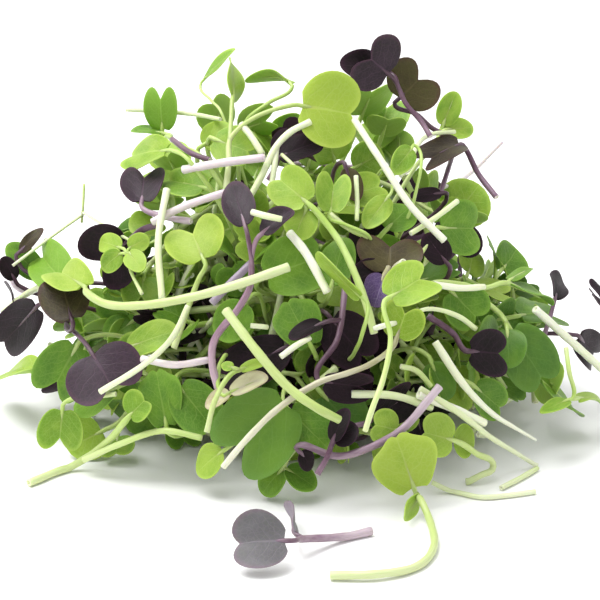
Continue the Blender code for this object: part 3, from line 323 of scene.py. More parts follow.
    )),
    ("loose_purple", "purple", 1.9, ((17.8, -58.5, 0), (8, -59.4, 4), (0, -59.8, 10)), (
        (ROUND, (-4, -60.2, 13), (-16.6, -60.4, 15), 12.5, (0.1, 0.5, 0.85), 0.25),
        (OVAL, (-1.2, -58.4, 11), (-1.6, -50.3, 11), 5, (0.7, 0.1, 0.7)),
    )),
)
# Sprouts of the front that the tangle carries, their stems running in to the core.
CARRIED = (
    ("arched_leaf", "light_green", 1.1, ((-13.8, 44, -8), (-8, 49.2, -7), (-3.4, 53, -6)), (
        (OVAL, (-2.9, 54.5, -6), (-7.4, 60.5, -6), 8, (0.8, 0.5, 0.4), 0.1, 0.9),
    )),
    ("narrow_tip", "light_green", 0.8, ((-19.5, 46.5, -12), (-22.3, 50, -12), (-23.5, 54, -12)), (
        (OVAL, (-23.6, 55.5, -12), (-17, 63.5, -13), 7, (-0.8, 0.5, 0.25)),
    )),
    ("back_round", "light_green", 1.2, ((28, 32, -12), (33, 38, -13), (35, 42, -14)), (
        (OVAL, (35.8, 44, -14), (39, 52, -15), 6, (0, 0, 1)),
        (OVAL, (36.3, 42.6, -14), (43.5, 43.2, -16), 6, (0, 0.3, 1)),
    )),
    ("small_oval_high", "light_green", 0.9, ((29.5, 31, 0), (28, 35, 0)), (
        (OVAL, (27.3, 37, 0), (23.3, 32, 1), 5.5, (0.3, 0.2, 1)),
    )),
    ("right_heart", "green", 1.3, ((28, 9, -2), (32, 14, -1), (35, 18, 0)), (
        (ROUND, (35.5, 18, 0), (45, 18, 1), 13, (0, 0.1, 1)),
    )),
    ("young_heart", "light_green", 1.0, ((17.5, 15.5, 3), (11, 19, 4), (8, 21.6, 4)), (
        (HEART, (7.7, 22.3, 4), (8.8, 31.8, 5), 8, (0, 0.1, 1), 0.5),
    )),
    ("small_oval_mid", "light_green", 0.9, ((22.8, 33, 1), (22, 28, 1)), (
        (OVAL, (21.8, 25.5, 1), (16.5, 18.5, 2), 6, (0.1, 0.3, 1)),
    )),
    ("edge_on_leaf", "light_green", 1.1, ((16.3, -5, 6), (15.6, -1.5, 6)), (
        (OVAL, (14.8, 1, 6), (3.2, 10.8, 6), 8, (-0.6, -0.65, 0.35)),
    )),
    ("small_round_front", "light_green", 1.1, ((29, -35.8, 5), (26, -33.6, 6), (24.5, -32.7, 6)), (
        (ROUND, (24, -32.5, 7), (18.3, -31, 8), 8, (0.1, 0.2, 1)),
    )),
    ("ruffled_small", "green", 1.1, ((-4, -22.5, -2), (-3, -26, 0)), (
        (LOBED, (-2.3, -27.8, 2), (6.8, -36.8, 4), 10, (0.1, 0.1, 1)),
    )),
    ("floor_round", "light_green", 1.2, ((-13, -33.5, 2), (-17.5, -36.4, 2)), (
        (OVAL, (-19.5, -38, 3), (-26.3, -43, 3), 8, (0, 0.6, 0.8)),
    )),
    ("right_reach", "green", 1.4, ((33.5, 4.3, -1), (40, 4, 0), (46, 3, 0), (51, 4, 0)), (
        (OVAL, (52.4, 4, 0), (63.3, 0.8, 0), 7.5, (0, 1, 0.3)),
        (OVAL, (52.4, 4.8, -1), (57.8, 9.2, -1), 4, (-0.3, 0.5, 0.8)),
    )),
    ("left_high_pair", "green", 1.2, ((-24, 35, -2), (-29, 38.2, -2), (-33, 40.8, -2)), (
        (HEART, (-34.3, 42.8, -2), (-35, 53, -3), 8.5, (-0.2, 0, 1)),
        (OVAL, (-34.8, 41.6, -1), (-42, 43, -1), 8, (0, 1, 0.3)),
    )),
    ("left_light_leaf", "light_green", 1.2, ((-27, 34, -1), (-32, 36.5, -1)), (
        (ROUND, (-33, 36.8, -1), (-44, 36, 0), 9, (0, 0.25, 1)),
    )),
    ("curled_pod", "light_green", 1.2, ((-20, -16, 5), (-18, -20, 8)), (
        (OVAL, (-17, -23, 9), (-8.4, -18.6, 9), 4.5, (0, 0.6, 0.8), 0.5),
        (OVAL, (-17.8, -23.4, 9), (-23.8, -26.6, 9), 4.5, (0, 0.6, 0.8), 0.5),
    )),
)
# Leaves deeper in the front of the heap, which the tangle carries: look, leaf.
DEEPER_LEAVES = (
    ("green", (ROUND, (-58, 3, -6), (-67, 14, -5), 11, (0, 0.1, 1))),
    ("purple", (ROUND, (-66, -2, -4), (-76, -12, -3), 11, (-0.1, 0.1, 1))),
    ("green", (OVAL, (-65, 6, -6), (-73, 14, -6), 7, (0, 0.2, 1))),
    ("green", (HEART, (-56, -12, -3), (-63, -24, -2), 13, (0, 0.1, 1))),
    ("light_green", (OVAL, (-66, -18, -2), (-77, -16, -3), 9, (0, 0.8, 0.6))),
    ("green", (OVAL, (-46, -22, -1), (-57, -27.5, 0), 8, (0, 0.5, 0.8))),
    ("green", (LOBED, (-33.5, -31, 0), (-36, -18, 1), 10, (0, 0.1, 1))),
    ("green", (ROUND, (-30, -22, -2), (-22, -32, 0), 11, (0, 0.2, 1))),
    ("light_green", (OVAL, (-43, -12, -2), (-31, -7, -1), 9, (0, 0.6, 0.8))),
    ("green", (LOBED, (2.5, -11, 0), (-3, -0.5, 1), 11, (0, 0.1, 1))),
    ("green", (OVAL, (-14, -1, 0), (-20, -10, 1), 9, (0, 0.2, 1))),
    ("green", (ROUND, (-8, 6, -3), (5.5, 11, -2), 14, (0, 0.2, 1))),
    ("green", (OVAL, (8, 4, -1), (11, 16, -1), 9, (-0.4, 0, 1))),
    ("light_green", (ROUND, (-24, 28, -3), (-34, 31, -2), 9, (0, 0.5, 0.9))),
    ("light_green", (ROUND, (-21, 40, -5), (-12, 37, -4), 10, (0, 0.2, 1))),
    ("light_green", (OVAL, (-24, 39, -5), (-17.5, 44, -5), 7, (0, 0.3, 1))),
    ("light_green", (ROUND, (12, 26, -3), (21, 29, -2), 9, (0, 0.3, 1))),
    ("green", (OVAL, (22, 18, -2), (28, 24, -2), 8, (0, 0.3, 1))),
    ("green", (ROUND, (38, 2, -3), (45, -5, -2), 11, (0, 0.2, 1))),
    ("deep_green", (OVAL, (33, -16, -2), (37, -25, -1), 7, (-0.3, 0.1, 1))),
    ("green", (HEART, (56, -4, -6), (67, -2, -6), 11, (0, 0.5, 0.8))),
    ("green", (OVAL, (60, -20, -2), (72, -28, -1), 9, (0, 0.7, 0.7))),
    ("green", (ROUND, (44, -22, -2), (51, -27.5, -2), 9, (0, 0.4, 0.9))),
    ("deep_green", (HEART, (6, -24, -3), (14, -33, -2), 12, (0, 0.2, 1))),
)
# Stems that show between the leaves with no node of their own: finish, width, points.
SEEN_STEMS = (
    ("pink stem", 1.7, ((-39.5, -14.7, 6), (-31, -16.2, 6), (-23, -15, 5))),
    ("pink stem", 1.1, ((35.5, 28, -20), (43, 32, -22), (50.5, 39.5, -24))),
    ("purple stem", 1.2, ((35, 26.3, -2), (36.5, 31, -2), (38.2, 36.4, -3))),
    ("purple stem", 1.4, ((-32, 40.2, 0), (-27, 36.6, 1), (-22.5, 35, 1))),
    ("pale stem", 1.6, ((-14.7, 44, 1), (-12, 40.6, 1), (-9.4, 36.4, 1))),
    ("pale stem", 1.6, ((2.6, 44.6, 3), (-2.4, 42, 3), (-5.8, 38.6, 3), (-9.6, 31, 3), (-12.4, 26, 2))),
    ("pale stem", 1.4, ((-5.8, 38.4, 2.5), (-6.6, 32, 2.5), (-7.6, 25.6, 2))),
    ("green stem", 0.9, ((-4.6, 36.4, 2), (-2, 34, 3), (0.4, 31.6, 3))),
    ("pale stem", 0.8, ((-71.8, 8.6, -3), (-63, 15.2, -4), (-54, 21.6, -6))),
    ("pale stem", 0.8, ((-54, 21.8, -4), (-48, 18, -2), (-42.4, 14.8, 3))),
    ("green stem", 0.7, ((-54.6, 19.4, -6), (-54.2, 24, -6), (-54, 29, -7))),
    ("pale stem", 1.7, ((-74.5, -3.2, 0), (-70, 0.4, 0), (-63, 4, 0))),
    ("white stem", 1.6, ((33.5, 3.9, 5), (40, 3, 5), (46, 3.3, 4))),
    ("pale stem", 1.1, ((14, 31, 4), (14.3, 25, 4), (14.2, 20, 4))),
    ("green stem", 1.3, ((7.5, 21.5, 3), (12, 18, 3), (17, 15.6, 3))),
    ("white stem", 1.4, ((-4.8, -14.2, 8), (-1, -11.4, 8), (2.6, -9.4, 7))),
    ("pale stem", 1.2, ((-12.3, -6.4, 8), (-10, -6.6, 8), (-8.1, -6.8, 7))),
    ("pale stem", 1.8, ((13, -23.5, 6), (24, -24, 7), (33, -27, 6))),
    ("white stem", 2.0, ((29.6, -23.6, 8), (38, -27, 7), (46.2, -30.8, 4))),
    ("green stem", 1.3, ((25.2, -16.6, 6), (29, -17.6, 6), (32.8, -21.6, 5))),
    ("white stem", 1.3, ((18.4, -7.2, 10), (21, -6.4, 10), (23.8, -5.8, 9))),
)
# Dark leaves in the hollows of the heap, with no node of their own, set where the heap is in deep shade:
# partly dark leaves, partly painted shade. Look, leaf.
PAINTED_SHADE_LEAVES = (
    ("purple", (ROUND, (8, -5, -2), (16.5, -15, -1), 12, (0, 0.1, 1))),
    ("purple", (ROUND, (-4, -12, -2), (-20, -19.5, -1), 11, (0, 0.2, 1))),
    ("purple", (OVAL, (36.4, 9.6, 1), (31.4, 16.6, 1), 6.5, (0, 0.1, 1))),
    ("purple", (OVAL, (35, 26.6, -1), (27.8, 26.2, -1), 3.6, (0, 0.3, 1))),
    ("purple", (OVAL, (-71.4, 5.4, -3), (-74.4, 10.6, -3), 4.6, (0, 0.1, 1))),
    ("olive", (OVAL, (-69.8, 12.2, -5), (-64.6, 18.2, -6), 3.6, (-0.3, 0.2, 1))),
    ("purple", (HEART, (70, -9.5, -6), (75.5, -15, -6), 9, (0, 0.1, 1))),
    ("olive", (OVAL, (11.6, 32.6, 0), (14.6, 25, 0), 5, (0.3, 0.1, 1))),
)
# Purple sprouts round the sides and the back, each like one of the front ones, turned by degrees.
TURNED = (
    ("curved_purple_stem", 235), ("left_big_dark", 215), ("right_dark_round", 165), ("forked_purple", 140),
    ("spoon_pair", 190), ("left_purple", 245), ("small_dark_front", 95), ("right_dark_cup", 250),
)
# Widths of the stems that lead out to single leaves in the front, and to the dark leaves in the hollows that
# are partly painted shade.
DEEPER_WIDTH = 1.5 * MM
PAINTED_SHADE_WIDTH = 1.4 * MM
# The tangle's own green sprouts, drawn by lot as in the part's source.
TANGLE_SEED = 11
TANGLE_DRAWS = 600
LEAF_BREADTHS = (9, 14)
STALK_REACH = 2.5
HEAD_LIFT = 3 * MM
ROOT_SHARE = 0.6
TANGLE_LOOKS = ("light_green", "light_green", "green", "green", "deep_green")
# The tangle's sprouts higher up than this are all drawn light green: painted light on the top of the heap.
PAINTED_LIGHT_ABOVE = 50 * MM

# Sprouts inside the heap, which the solids leave to this script.
INNER_SEED = 5
INNER_DRAWS = 900
INNER_SPROUTS = 330
INNER_BREADTHS = (6, 12)
INWARD_SLANT = 0.16
LEAST_GIRTH = 12 * MM
INNER_LIFT = 1.5 * MM
FACE_RISE = 1.4
# How often each look is drawn, near the face of the heap or high up, and deeper in. The deeper sprouts are
# drawn in darker looks as painted shade, and those near the face or high up in lighter looks as painted
# light.
OUTER_SHARE, OUTER_HEIGHT = 0.74, 0.45
LIT_OUTER_LOOKS = {"light_green": 48, "green": 14, "deep_green": 3, "purple": 9, "pale_stem": 26}
SHADED_DEEP_LOOKS = {"light_green": 4, "green": 26, "deep_green": 34, "purple": 28, "pale_stem": 8}
# Kinds of drawn leaves, and their length as a share of their breadth.
DRAWN_KINDS = (HEART, ROUND, ROUND, OVAL)
DRAWN_LENGTH = 0.8
# Seeds of how leaves and stems vary, for each piece that holds many of them.
DEEPER_CHANCE, TANGLE_CHANCE, SEEN_CHANCE, INNER_CHANCE = 3, 8, 14, 21

# A look's leaf and stem finishes.
FINISHES = {
    "light_green": ("light leaf", "green stem"),
    "green": ("green leaf", "green stem"),
    "deep_green": ("deep leaf", "green stem"),
    "purple": ("purple leaf", "purple stem"),
    "olive": ("olive leaf", "purple stem"),
    "pale_stem": ("light leaf", "pale stem"),
    "lilac_stem": ("purple leaf", "lilac stem"),
}
# Finishes of single leaves, from a sprout's first leaf on, and of its stem, where they have their own.
OWN_FINISHES = {
    "tall_fork": (("yellow leaf",), "yellow stem"),
    "left_twin_purple": (("olive leaf", "plum leaf"), "purple stem"),
    "centre_purple": (("olive leaf", "violet leaf", "purple leaf"), "bronze stem"),
    "right_big_pair": (("deep leaf", "deep leaf"), "green stem"),
    "crown_purple": (("plum leaf", "purple leaf"), "purple stem"),
    "olive_heart_long": (("yellow leaf",), "bronze stem"),
    "spoon_pair": (("plum leaf", "plum leaf"), "plum stem"),
    "left_purple": (("plum leaf",), "lilac stem"),
    # The loose purple sprout's leaves are lightened to grey: partly their own purple-grey tone, partly
    # painted sheen.
    "loose_purple": (("slate leaf", "slate leaf"), "lilac stem"),
    "curved_purple_stem": ((), "lilac stem"),
    "yellow_heart": (("yellow leaf",), "yellow stem"),
    "curled_pod": (("husk leaf", "husk leaf"), "green stem"),
    "pale_fork": ((), "yellow stem"),
    "thick_pale_stem": ((), "yellow stem"),
    "long_green_arm": (("yellow leaf",), "yellow stem"),
    "front_lobed": (("yellow leaf",), "yellow stem"),
    "slant_lilac_stem": ((), "grey stem"),
    "high_lilac_stem": ((), "pink stem"),
    "mid_lilac_stem": ((), "pink stem"),
    "long_white_stem": ((), "white stem"),
    "stout_white_piece": ((), "white stem"),
    "tapered_white": ((), "white stem"),
    "far_right_white": ((), "white stem"),
}
# Bare stems that are drawn out to a point, with the share of their width at their first point.
POINTED_STEMS = {"tapered_white": 0.3, "low_white": 0.6, "thin_white_right": 0.6}
# Leaf finishes: young and old blade, vein, margin and underside colours, vein strength, roughness, glow and
# gloss.
LEAF_FINISHES = {
    "yellow leaf": ((0.31, 0.42, 0.05), (0.20, 0.32, 0.025), (0.46, 0.56, 0.15), (0.44, 0.56, 0.10),
                    (0.34, 0.44, 0.10), 0.38, 0.45, 0.35, 0.24),
    "light leaf": ((0.28, 0.41, 0.05), (0.145, 0.28, 0.02), (0.45, 0.57, 0.16), (0.40, 0.54, 0.10),
                   (0.31, 0.44, 0.11), 0.38, 0.45, 0.32, 0.24),
    "green leaf": ((0.155, 0.30, 0.026), (0.08, 0.19, 0.016), (0.32, 0.47, 0.10), (0.22, 0.38, 0.05),
                   (0.20, 0.34, 0.070), 0.34, 0.45, 0.25, 0.22),
    "deep leaf": ((0.110, 0.220, 0.022), (0.060, 0.150, 0.017), (0.18, 0.32, 0.07), (0.12, 0.24, 0.04),
                  (0.14, 0.25, 0.055), 0.26, 0.42, 0.18, 0.25),
    "purple leaf": ((0.018, 0.01, 0.014), (0.009, 0.008, 0.007), (0.06, 0.028, 0.05), (0.04, 0.014, 0.03),
                    (0.060, 0.028, 0.052), 0.32, 0.45, 0.03, 0.10),
    "plum leaf": ((0.045, 0.029, 0.041), (0.026, 0.019, 0.023), (0.115, 0.065, 0.100), (0.085, 0.036, 0.064),
                  (0.100, 0.050, 0.082), 0.36, 0.42, 0.06, 0.16),
    "violet leaf": ((0.085, 0.05, 0.14), (0.06, 0.035, 0.10), (0.30, 0.23, 0.40), (0.08, 0.04, 0.10),
                    (0.10, 0.055, 0.14), 0.45, 0.42, 0.08, 0.25),
    # The loose purple leaf's finish: its dark purple lightened to grey, partly its own tone and partly
    # painted sheen of the white room.
    "slate leaf": ((0.20, 0.19, 0.21), (0.12, 0.115, 0.12), (0.30, 0.26, 0.31), (0.19, 0.12, 0.17),
                   (0.22, 0.17, 0.22), 0.26, 0.45, 0.1, 0.2),
    "olive leaf": ((0.068, 0.058, 0.022), (0.032, 0.022, 0.015), (0.14, 0.11, 0.05), (0.075, 0.026, 0.030),
                   (0.095, 0.070, 0.048), 0.36, 0.42, 0.08, 0.16),
    "husk leaf": ((0.60, 0.58, 0.38), (0.40, 0.34, 0.20), (0.70, 0.68, 0.50), (0.36, 0.27, 0.17),
                  (0.56, 0.52, 0.36), 0.4, 0.5, 0.25, 0.3),
}
# Stem finishes: colours at the cut end, halfway and at the leaves, then the cut face.
STEM_FINISHES = {
    "green stem": ((0.66, 0.73, 0.40), (0.52, 0.64, 0.22), (0.38, 0.54, 0.11), (0.72, 0.76, 0.48)),
    "yellow stem": ((0.62, 0.68, 0.38), (0.48, 0.58, 0.21), (0.32, 0.44, 0.09), (0.70, 0.74, 0.48)),
    "pale stem": ((0.74, 0.78, 0.56), (0.66, 0.73, 0.42), (0.56, 0.67, 0.27), (0.74, 0.77, 0.58)),
    "white stem": ((0.82, 0.83, 0.70), (0.77, 0.80, 0.57), (0.62, 0.72, 0.34), (0.78, 0.80, 0.62)),
    "pink stem": ((0.78, 0.73, 0.71), (0.68, 0.59, 0.61), (0.55, 0.42, 0.51), (0.80, 0.77, 0.73)),
    "lilac stem": ((0.56, 0.46, 0.52), (0.26, 0.165, 0.225), (0.11, 0.052, 0.085), (0.76, 0.72, 0.68)),
    "plum stem": ((0.60, 0.45, 0.53), (0.33, 0.19, 0.27), (0.07, 0.022, 0.045), (0.74, 0.68, 0.64)),
    "grey stem": ((0.36, 0.31, 0.37), (0.29, 0.23, 0.30), (0.22, 0.16, 0.23), (0.64, 0.58, 0.62)),
    "bronze stem": ((0.78, 0.78, 0.62), (0.50, 0.46, 0.34), (0.30, 0.28, 0.13), (0.74, 0.74, 0.56)),
    "purple stem": ((0.24, 0.145, 0.205), (0.10, 0.040, 0.075), (0.05, 0.017, 0.033), (0.76, 0.70, 0.68)),
}


def seen(across, up, toward, turn=0.0):
    """The point that shows at (across, up) in the view, in mm at its axis, so far toward the viewer."""
    shrink = 1 - toward * MM / VIEW_DISTANCE
    right, rise, out = across * shrink * MM, up * shrink * MM, toward * MM
    level = rise * math.sin(VIEW_TILT) - out * math.cos(VIEW_TILT)
    height = VIEW_HEIGHT + rise * math.cos(VIEW_TILT) + out * math.sin(VIEW_TILT)
    return Matrix.Rotation(turn, 3, "Z") @ Vector((right, level, height))


def view_direction(across, up, out, turn=0.0):
    """A direction told in the view, as a direction in the heap's frame."""
    level = up * math.sin(VIEW_TILT) - out * math.cos(VIEW_TILT)
    height = up * math.cos(VIEW_TILT) + out * math.sin(VIEW_TILT)
    return Matrix.Rotation(turn, 3, "Z") @ Vector((across, level, height))


def inside_mound(point):
    """Above 0 inside the mound that the heap's face follows, falling outward."""
    height = max(point.z / MOUND_HEIGHT, 0)
    profile = 1 - height**MOUND_SWELL
    return profile - math.hypot(point.x / MOUND_WIDTH, point.y / MOUND_DEPTH)


def on_face(place, turn=0.0):
    """Where a place told in the view lies on the heap's face, or on the table in front of it."""
    across, up, lift = place
    best, best_inside = NEAREST, -math.inf
    for toward in range(NEAREST, FURTHEST, -1):
        point = seen(across, up, toward, turn)
        if point.z < 0:
            break
        depth = inside_mound(point)
        if depth > best_inside:
            best, best_inside = toward, depth
        if depth > 0:
            break
    return seen(across, up, best + lift, turn)


def placed_leaf(leaf, turn, offset):
    """A leaf of the tables as (kind, base, tip, breadth, facing, cup, curl) in the heap's frame."""
    kind, base, tip, breadth, facing, *shape = leaf
    cup, curl = shape + [SLIGHT_CUP, SLIGHT_CURL][len(shape):]
    base, tip = on_face(base, turn) + offset, on_face(tip, turn) + offset
    return kind, base, tip, breadth * MM, view_direction(*facing, turn), cup, curl


def core_root(point):
    """A point well inside the core, for a stem that leads out to this one."""
    height = min(max(point.z * ROOT_RISE, LOWEST_ROOT), HIGHEST_ROOT)
    return Vector((point.x * ROOT_DRAW, point.y * ROOT_DRAW, height))


def leaf_path(points, leaf):
    """The points of a stem or stalk, led straight into a leaf's base."""
    base, tip = leaf[1], leaf[2]
    while len(points) > 2 and (base - points[-1]).length < SHORT_STALK:
        points = points[:-1]
    reach = (base - points[-1]).length
    if reach < SHORT_STALK:
        return [*points, base]
    lead = min(LONGEST_LEAD, LEAD_SHARE * reach)
    return [*points, base - (tip - base).normalized() * lead, base]


def fork_point(path, head, leaf):
    """Where another stalk leaves a stem: a little before its head, or where it needs to turn least."""
    base, along = leaf[1], (leaf[2] - leaf[1]).normalized()
    fork = Vector(path[max(head - 1, 1)])
    if (base - fork).normalized().dot(along) > EASY_TURN:
        return fork

    def ease(point):
        reach = base - point
        return reach.normalized().dot(along) - reach.length / FAR_FORK

    return max([Vector(spot) for spot in path[1:]], key=ease)


def outline_reach(kind, ray):
    """How far a blade's outline runs out along rays, as shares of its length."""
    if kind == OVAL:
        return np.maximum(np.cos(ray * math.pi / 2 / OVAL_SPREAD), OVAL_LEAST)
    reach = np.cos(HEART_FALL * (np.abs(ray) - HEART_SHOULDER)) ** HEART_POWER
    if kind == LOBED:
        return reach * (1 + LOBE_DEPTH * np.cos(LOBE_TURNS * ray))
    depth = NOTCH_DEPTH if kind == HEART else ROUND_NOTCH_DEPTH
    return reach - depth * np.exp(-((ray / NOTCH_WIDTH) ** 2))


def blade_axes(leaf):
    """A leaf's length and its directions along, out of its face and across."""
    _, base, tip, _, facing, _, _ = leaf
    length = (tip - base).length
    along = (tip - base).normalized()
    normal = (facing - facing.dot(along) * along).normalized()
    return length, np.array(along), np.array(normal), np.array(normal.cross(along))


def blade_middle(leaf, shares, ray, measured=COARSE_RAYS):
    """Points on the middle of a leaf's blade, and their places along and across it."""
    kind, base, _, breadth, _, cup, curl = leaf
    length, along, normal, across = blade_axes(leaf)
    coarse = np.array(measured)
    longest = np.max(outline_reach(kind, coarse) * np.cos(coarse))
    widest = np.max(outline_reach(kind, coarse) * np.sin(coarse))
    reach = outline_reach(kind, ray)
    x = shares * reach * np.cos(ray) / longest
    y = shares * reach * np.sin(ray) / widest
    rise = cup * y * y * breadth / 2 - curl * x * np.abs(x) * length
    spots = np.array(base) + x[..., None] * along * length + y[..., None] * across * breadth / 2
    return spots + rise[..., None] * normal, x, y


def on_table(spots, radius):
    """The points, raised where something of that radius would sink into the table."""
    spots = np.array(spots, dtype=float)
    spots[..., 2] = np.maximum(spots[..., 2], radius + FLOOR_GAP)
    return spots


def smooth_path(points, spacing):
    """A smooth curve through the points, evenly spaced, with its runs and those of the points given."""
    ways = [(b - a).normalized() for a, b in zip(points, points[1:])]
    leads = [(a + b).normalized() for a, b in zip([ways[0], *ways], [*ways, ways[-1]])]
    dense = []
    for a, b, leave, arrive in zip(points, points[1:], leads, leads[1:]):
        reach = (b - a).length
        for i in range(CURVE_STEPS):
            t = i / CURVE_STEPS
            ease = t * t * (3 - 2 * t)
            pull = leave * (t * (1 - t) ** 2) - arrive * (t * t * (1 - t))
            dense.append(a + (b - a) * ease + pull * reach)
    dense.append(points[-1])
    dense = np.array(dense)
    runs = np.concatenate([[0], np.cumsum(np.linalg.norm(np.diff(dense, axis=0), axis=1))])
    count = max(round(runs[-1] / spacing), FEWEST_RINGS)
    wanted = np.linspace(0, runs[-1], count)
    path = np.column_stack([np.interp(wanted, runs, dense[:, k]) for k in range(3)])
    return path, wanted, runs[::CURVE_STEPS]


class Bunch:
    """Gathers the skins of stems and leaves in one mesh, with the values that their finishes read."""

    def __init__(self):
        self.points, self.faces, self.finishes = [], [], []
        self.growth, self.lot = [], []
        self.count = 0

    def add(self, points, faces, finish, growth, lot):
        """Adds a closed skin, with a growth and a lot for each of its points."""
        self.points.append(points)
        self.growth.append(growth)
        self.lot.append(lot)
        self.faces += [tuple(i + self.count for i in face) for face in faces]
        self.finishes += [finish] * len(faces)
        self.count += len(points)

    def take(self, other):
        """Adds all that another bunch holds."""
        self.points += other.points
        self.growth += other.growth
        self.lot += other.lot
        self.faces += [tuple(i + self.count for i in face) for face in other.faces]
        self.finishes += other.finishes
        self.count += other.count

    def piece(self, name, slot):
        """Makes the mesh object, on the heap's one body."""
        mesh = bpy.data.meshes.new(name)
        mesh.from_pydata(np.concatenate(self.points).tolist(), [], self.faces)
        used = sorted(set(self.finishes))
        for finish in used:
            mesh.materials.append(finish_material(finish))
        mesh.polygons.foreach_set("material_index", [used.index(finish) for finish in self.finishes])
        for label, values in (("growth", self.growth), ("lot", self.lot)):
            held = mesh.attributes.new(label, "FLOAT_VECTOR", "POINT")
            held.data.foreach_set("vector", np.concatenate(values).astype(np.float32).ravel())
        mesh.shade_smooth()
        mesh.set_sharp_from_angle(angle=CREASE_ANGLE)
        made = bpy.data.objects.new(name, mesh)
        bpy.context.scene.collection.objects.link(made)
        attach(made, "root")
        return made


def tube_frames(path, side):
    """For each point of a path, two directions square to it that turn as little as they can."""
    tangents = np.gradient(path, axis=0)
    tangents /= np.linalg.norm(tangents, axis=1)[:, None]
    sides, others = [], []
    for tangent in tangents:
        side = side - side.dot(tangent) * tangent
        side = side / np.linalg.norm(side)
        sides.append(side)
        others.append(np.cross(tangent, side))
    return tangents, np.array(sides), np.array(others)


def end_rings(centre, circle, radius, out, is_cut):
    """The rings past a stem's end: a cut face with a small hollow, or a blunt tip."""
    rings = CUT_END if is_cut else BLUNT_END
    return [centre + circle * radius * width + out * radius * depth for width, depth in rings]


def add_tube(bunch, path, radii, finish, shares, chance, cuts, sides):
    """A round stem. Shares run from 0 at the cut end to 1 at the leaves, and a cut face reads -1."""
    path = on_table(path, radii)
    tangents, one, other = tube_frames(path, np.array(STEM_SIDEWAYS))
    turn = np.linspace(0, 2 * math.pi, sides, endpoint=False)
    circle = np.cos(turn)[None, :, None] * one[:, None] + np.sin(turn)[None, :, None] * other[:, None]
    wobble = 1 + STEM_WOBBLE * np.sin(np.arange(len(path)) * WOBBLE_PACE + chance.uniform(0, 6))
    before = end_rings(path[0], circle[0], radii[0], -tangents[0], cuts[0])[::-1]
    beyond = end_rings(path[-1], circle[-1], radii[-1], tangents[-1], cuts[1])
    rings = before + [path[i] + circle[i] * radii[i] * wobble[i] for i in range(len(path))] + beyond
    start, end = (-1 if is_cut else share for is_cut, share in zip(cuts, (shares[0], shares[-1])))
    shares = [start] * len(before) + list(shares) + [end] * len(beyond)
    spots = np.concatenate(rings)
    marks = np.concatenate([np.column_stack([np.full(sides, s), np.cos(turn), np.sin(turn)]) for s in shares])

    index = np.arange(len(spots)).reshape(-1, sides)
    after = np.roll(index, -1, axis=1)
    faces = np.stack([index[:-1], after[:-1], after[1:], index[1:]], axis=-1).reshape(-1, 4).tolist()
    first, last = len(spots), len(spots) + 1
    faces += [(first, there, here) for here, there in zip(index[0].tolist(), after[0].tolist())]
    faces += [(last, here, there) for here, there in zip(index[-1].tolist(), after[-1].tolist())]
    spots = np.vstack([spots, spots[:sides].mean(axis=0), spots[-sides:].mean(axis=0)])
    marks = np.vstack([marks, marks[0] * (1, 0, 0), marks[-1] * (1, 0, 0)])
    lot = np.tile((chance.random(), 0.5, chance.random()), (len(spots), 1))
    bunch.add(spots, faces, finish, marks, lot)


def waved_blade(leaf, shares, ray, chance):
    """The middle of a waved blade as rows of points, with their places along and across it."""
    spots, x, y = blade_middle(leaf, shares, ray)
    length, _, normal, _ = blade_axes(leaf)
    first, second, third = (chance.uniform(0, 2 * math.pi) for _ in range(3))
    wave = MARGIN_WAVE * shares**2 * np.sin(WAVES * ray + first) + TWIST * x * y * math.sin(second)
    wave = wave + FACE_WAVE * np.sin(WAVES * x + third) * shares
    return on_table(spots + (wave * length)[..., None] * normal, FINE_REST), x, y


def blade_faces(rings, rays):
    """The faces of a blade's two sides and its rim, where the under side's points come after the top's."""
    index = np.arange(rings * rays).reshape(rings, rays)
    near, far = index[:-1], index[1:]
    face = np.stack([near[:, :-1], far[:, :-1], far[:, 1:], near[:, 1:]], axis=-1).reshape(-1, 4)
    count = rings * rays
    edge = np.concatenate([index[0, :-1], index[:-1, -1], index[-1, :0:-1], index[:0:-1, 0]])
    after = np.roll(edge, -1)
    rim = np.stack([edge, after, after + count, edge + count], axis=-1)
    return np.concatenate([face, face[:, ::-1] + count, rim]).tolist()


def add_blade(bunch, leaf, finish, chance, grid):
    """A thin leaf blade with a waved face and a fine rim."""
    rings, rays = grid
    shares = (np.linspace(0, 1, rings) ** RING_CROWDING)[:, None]
    shares[0] = FIRST_RING
    spots, x, y = waved_blade(leaf, shares, np.linspace(-WIDEST_RAY, WIDEST_RAY, rays)[None, :], chance)
    out = np.cross(np.gradient(spots, axis=0), np.gradient(spots, axis=1))
    out /= np.maximum(np.linalg.norm(out, axis=-1), 1e-12)[..., None]
    out *= np.sign(out.reshape(-1, 3).mean(axis=0).dot(blade_axes(leaf)[2])) or 1
    half = out * ((LEAF_THICKNESS + (RIM_THICKNESS - LEAF_THICKNESS) * shares**4) / 2)[..., None]
    skin = np.concatenate([(spots + half).reshape(-1, 3), (spots - half).reshape(-1, 3)])
    place = np.stack([x, y, np.broadcast_to(shares, x.shape)], axis=-1).reshape(-1, 3)
    own, other = chance.random(), chance.random()
    lot = np.array([(own, 1, other)] * len(place) + [(own, 0, other)] * len(place))
    bunch.add(skin, blade_faces(rings, rays), finish, np.concatenate([place, place]), lot)


def rib_points(leaf):
    """Points under the middle of a blade, for the stalk to run on as its rib."""
    reach = OVAL_RIB if leaf[0] == OVAL else NOTCHED_RIB
    length, along, normal, _ = blade_axes(leaf)
    base, curl = np.array(leaf[1]), leaf[6]
    places = [share * reach for share in RIB_PLACES]
    return [Vector(base + along * s * length - normal * (curl * s * s * length + RIB_DEPTH)) for s in places]


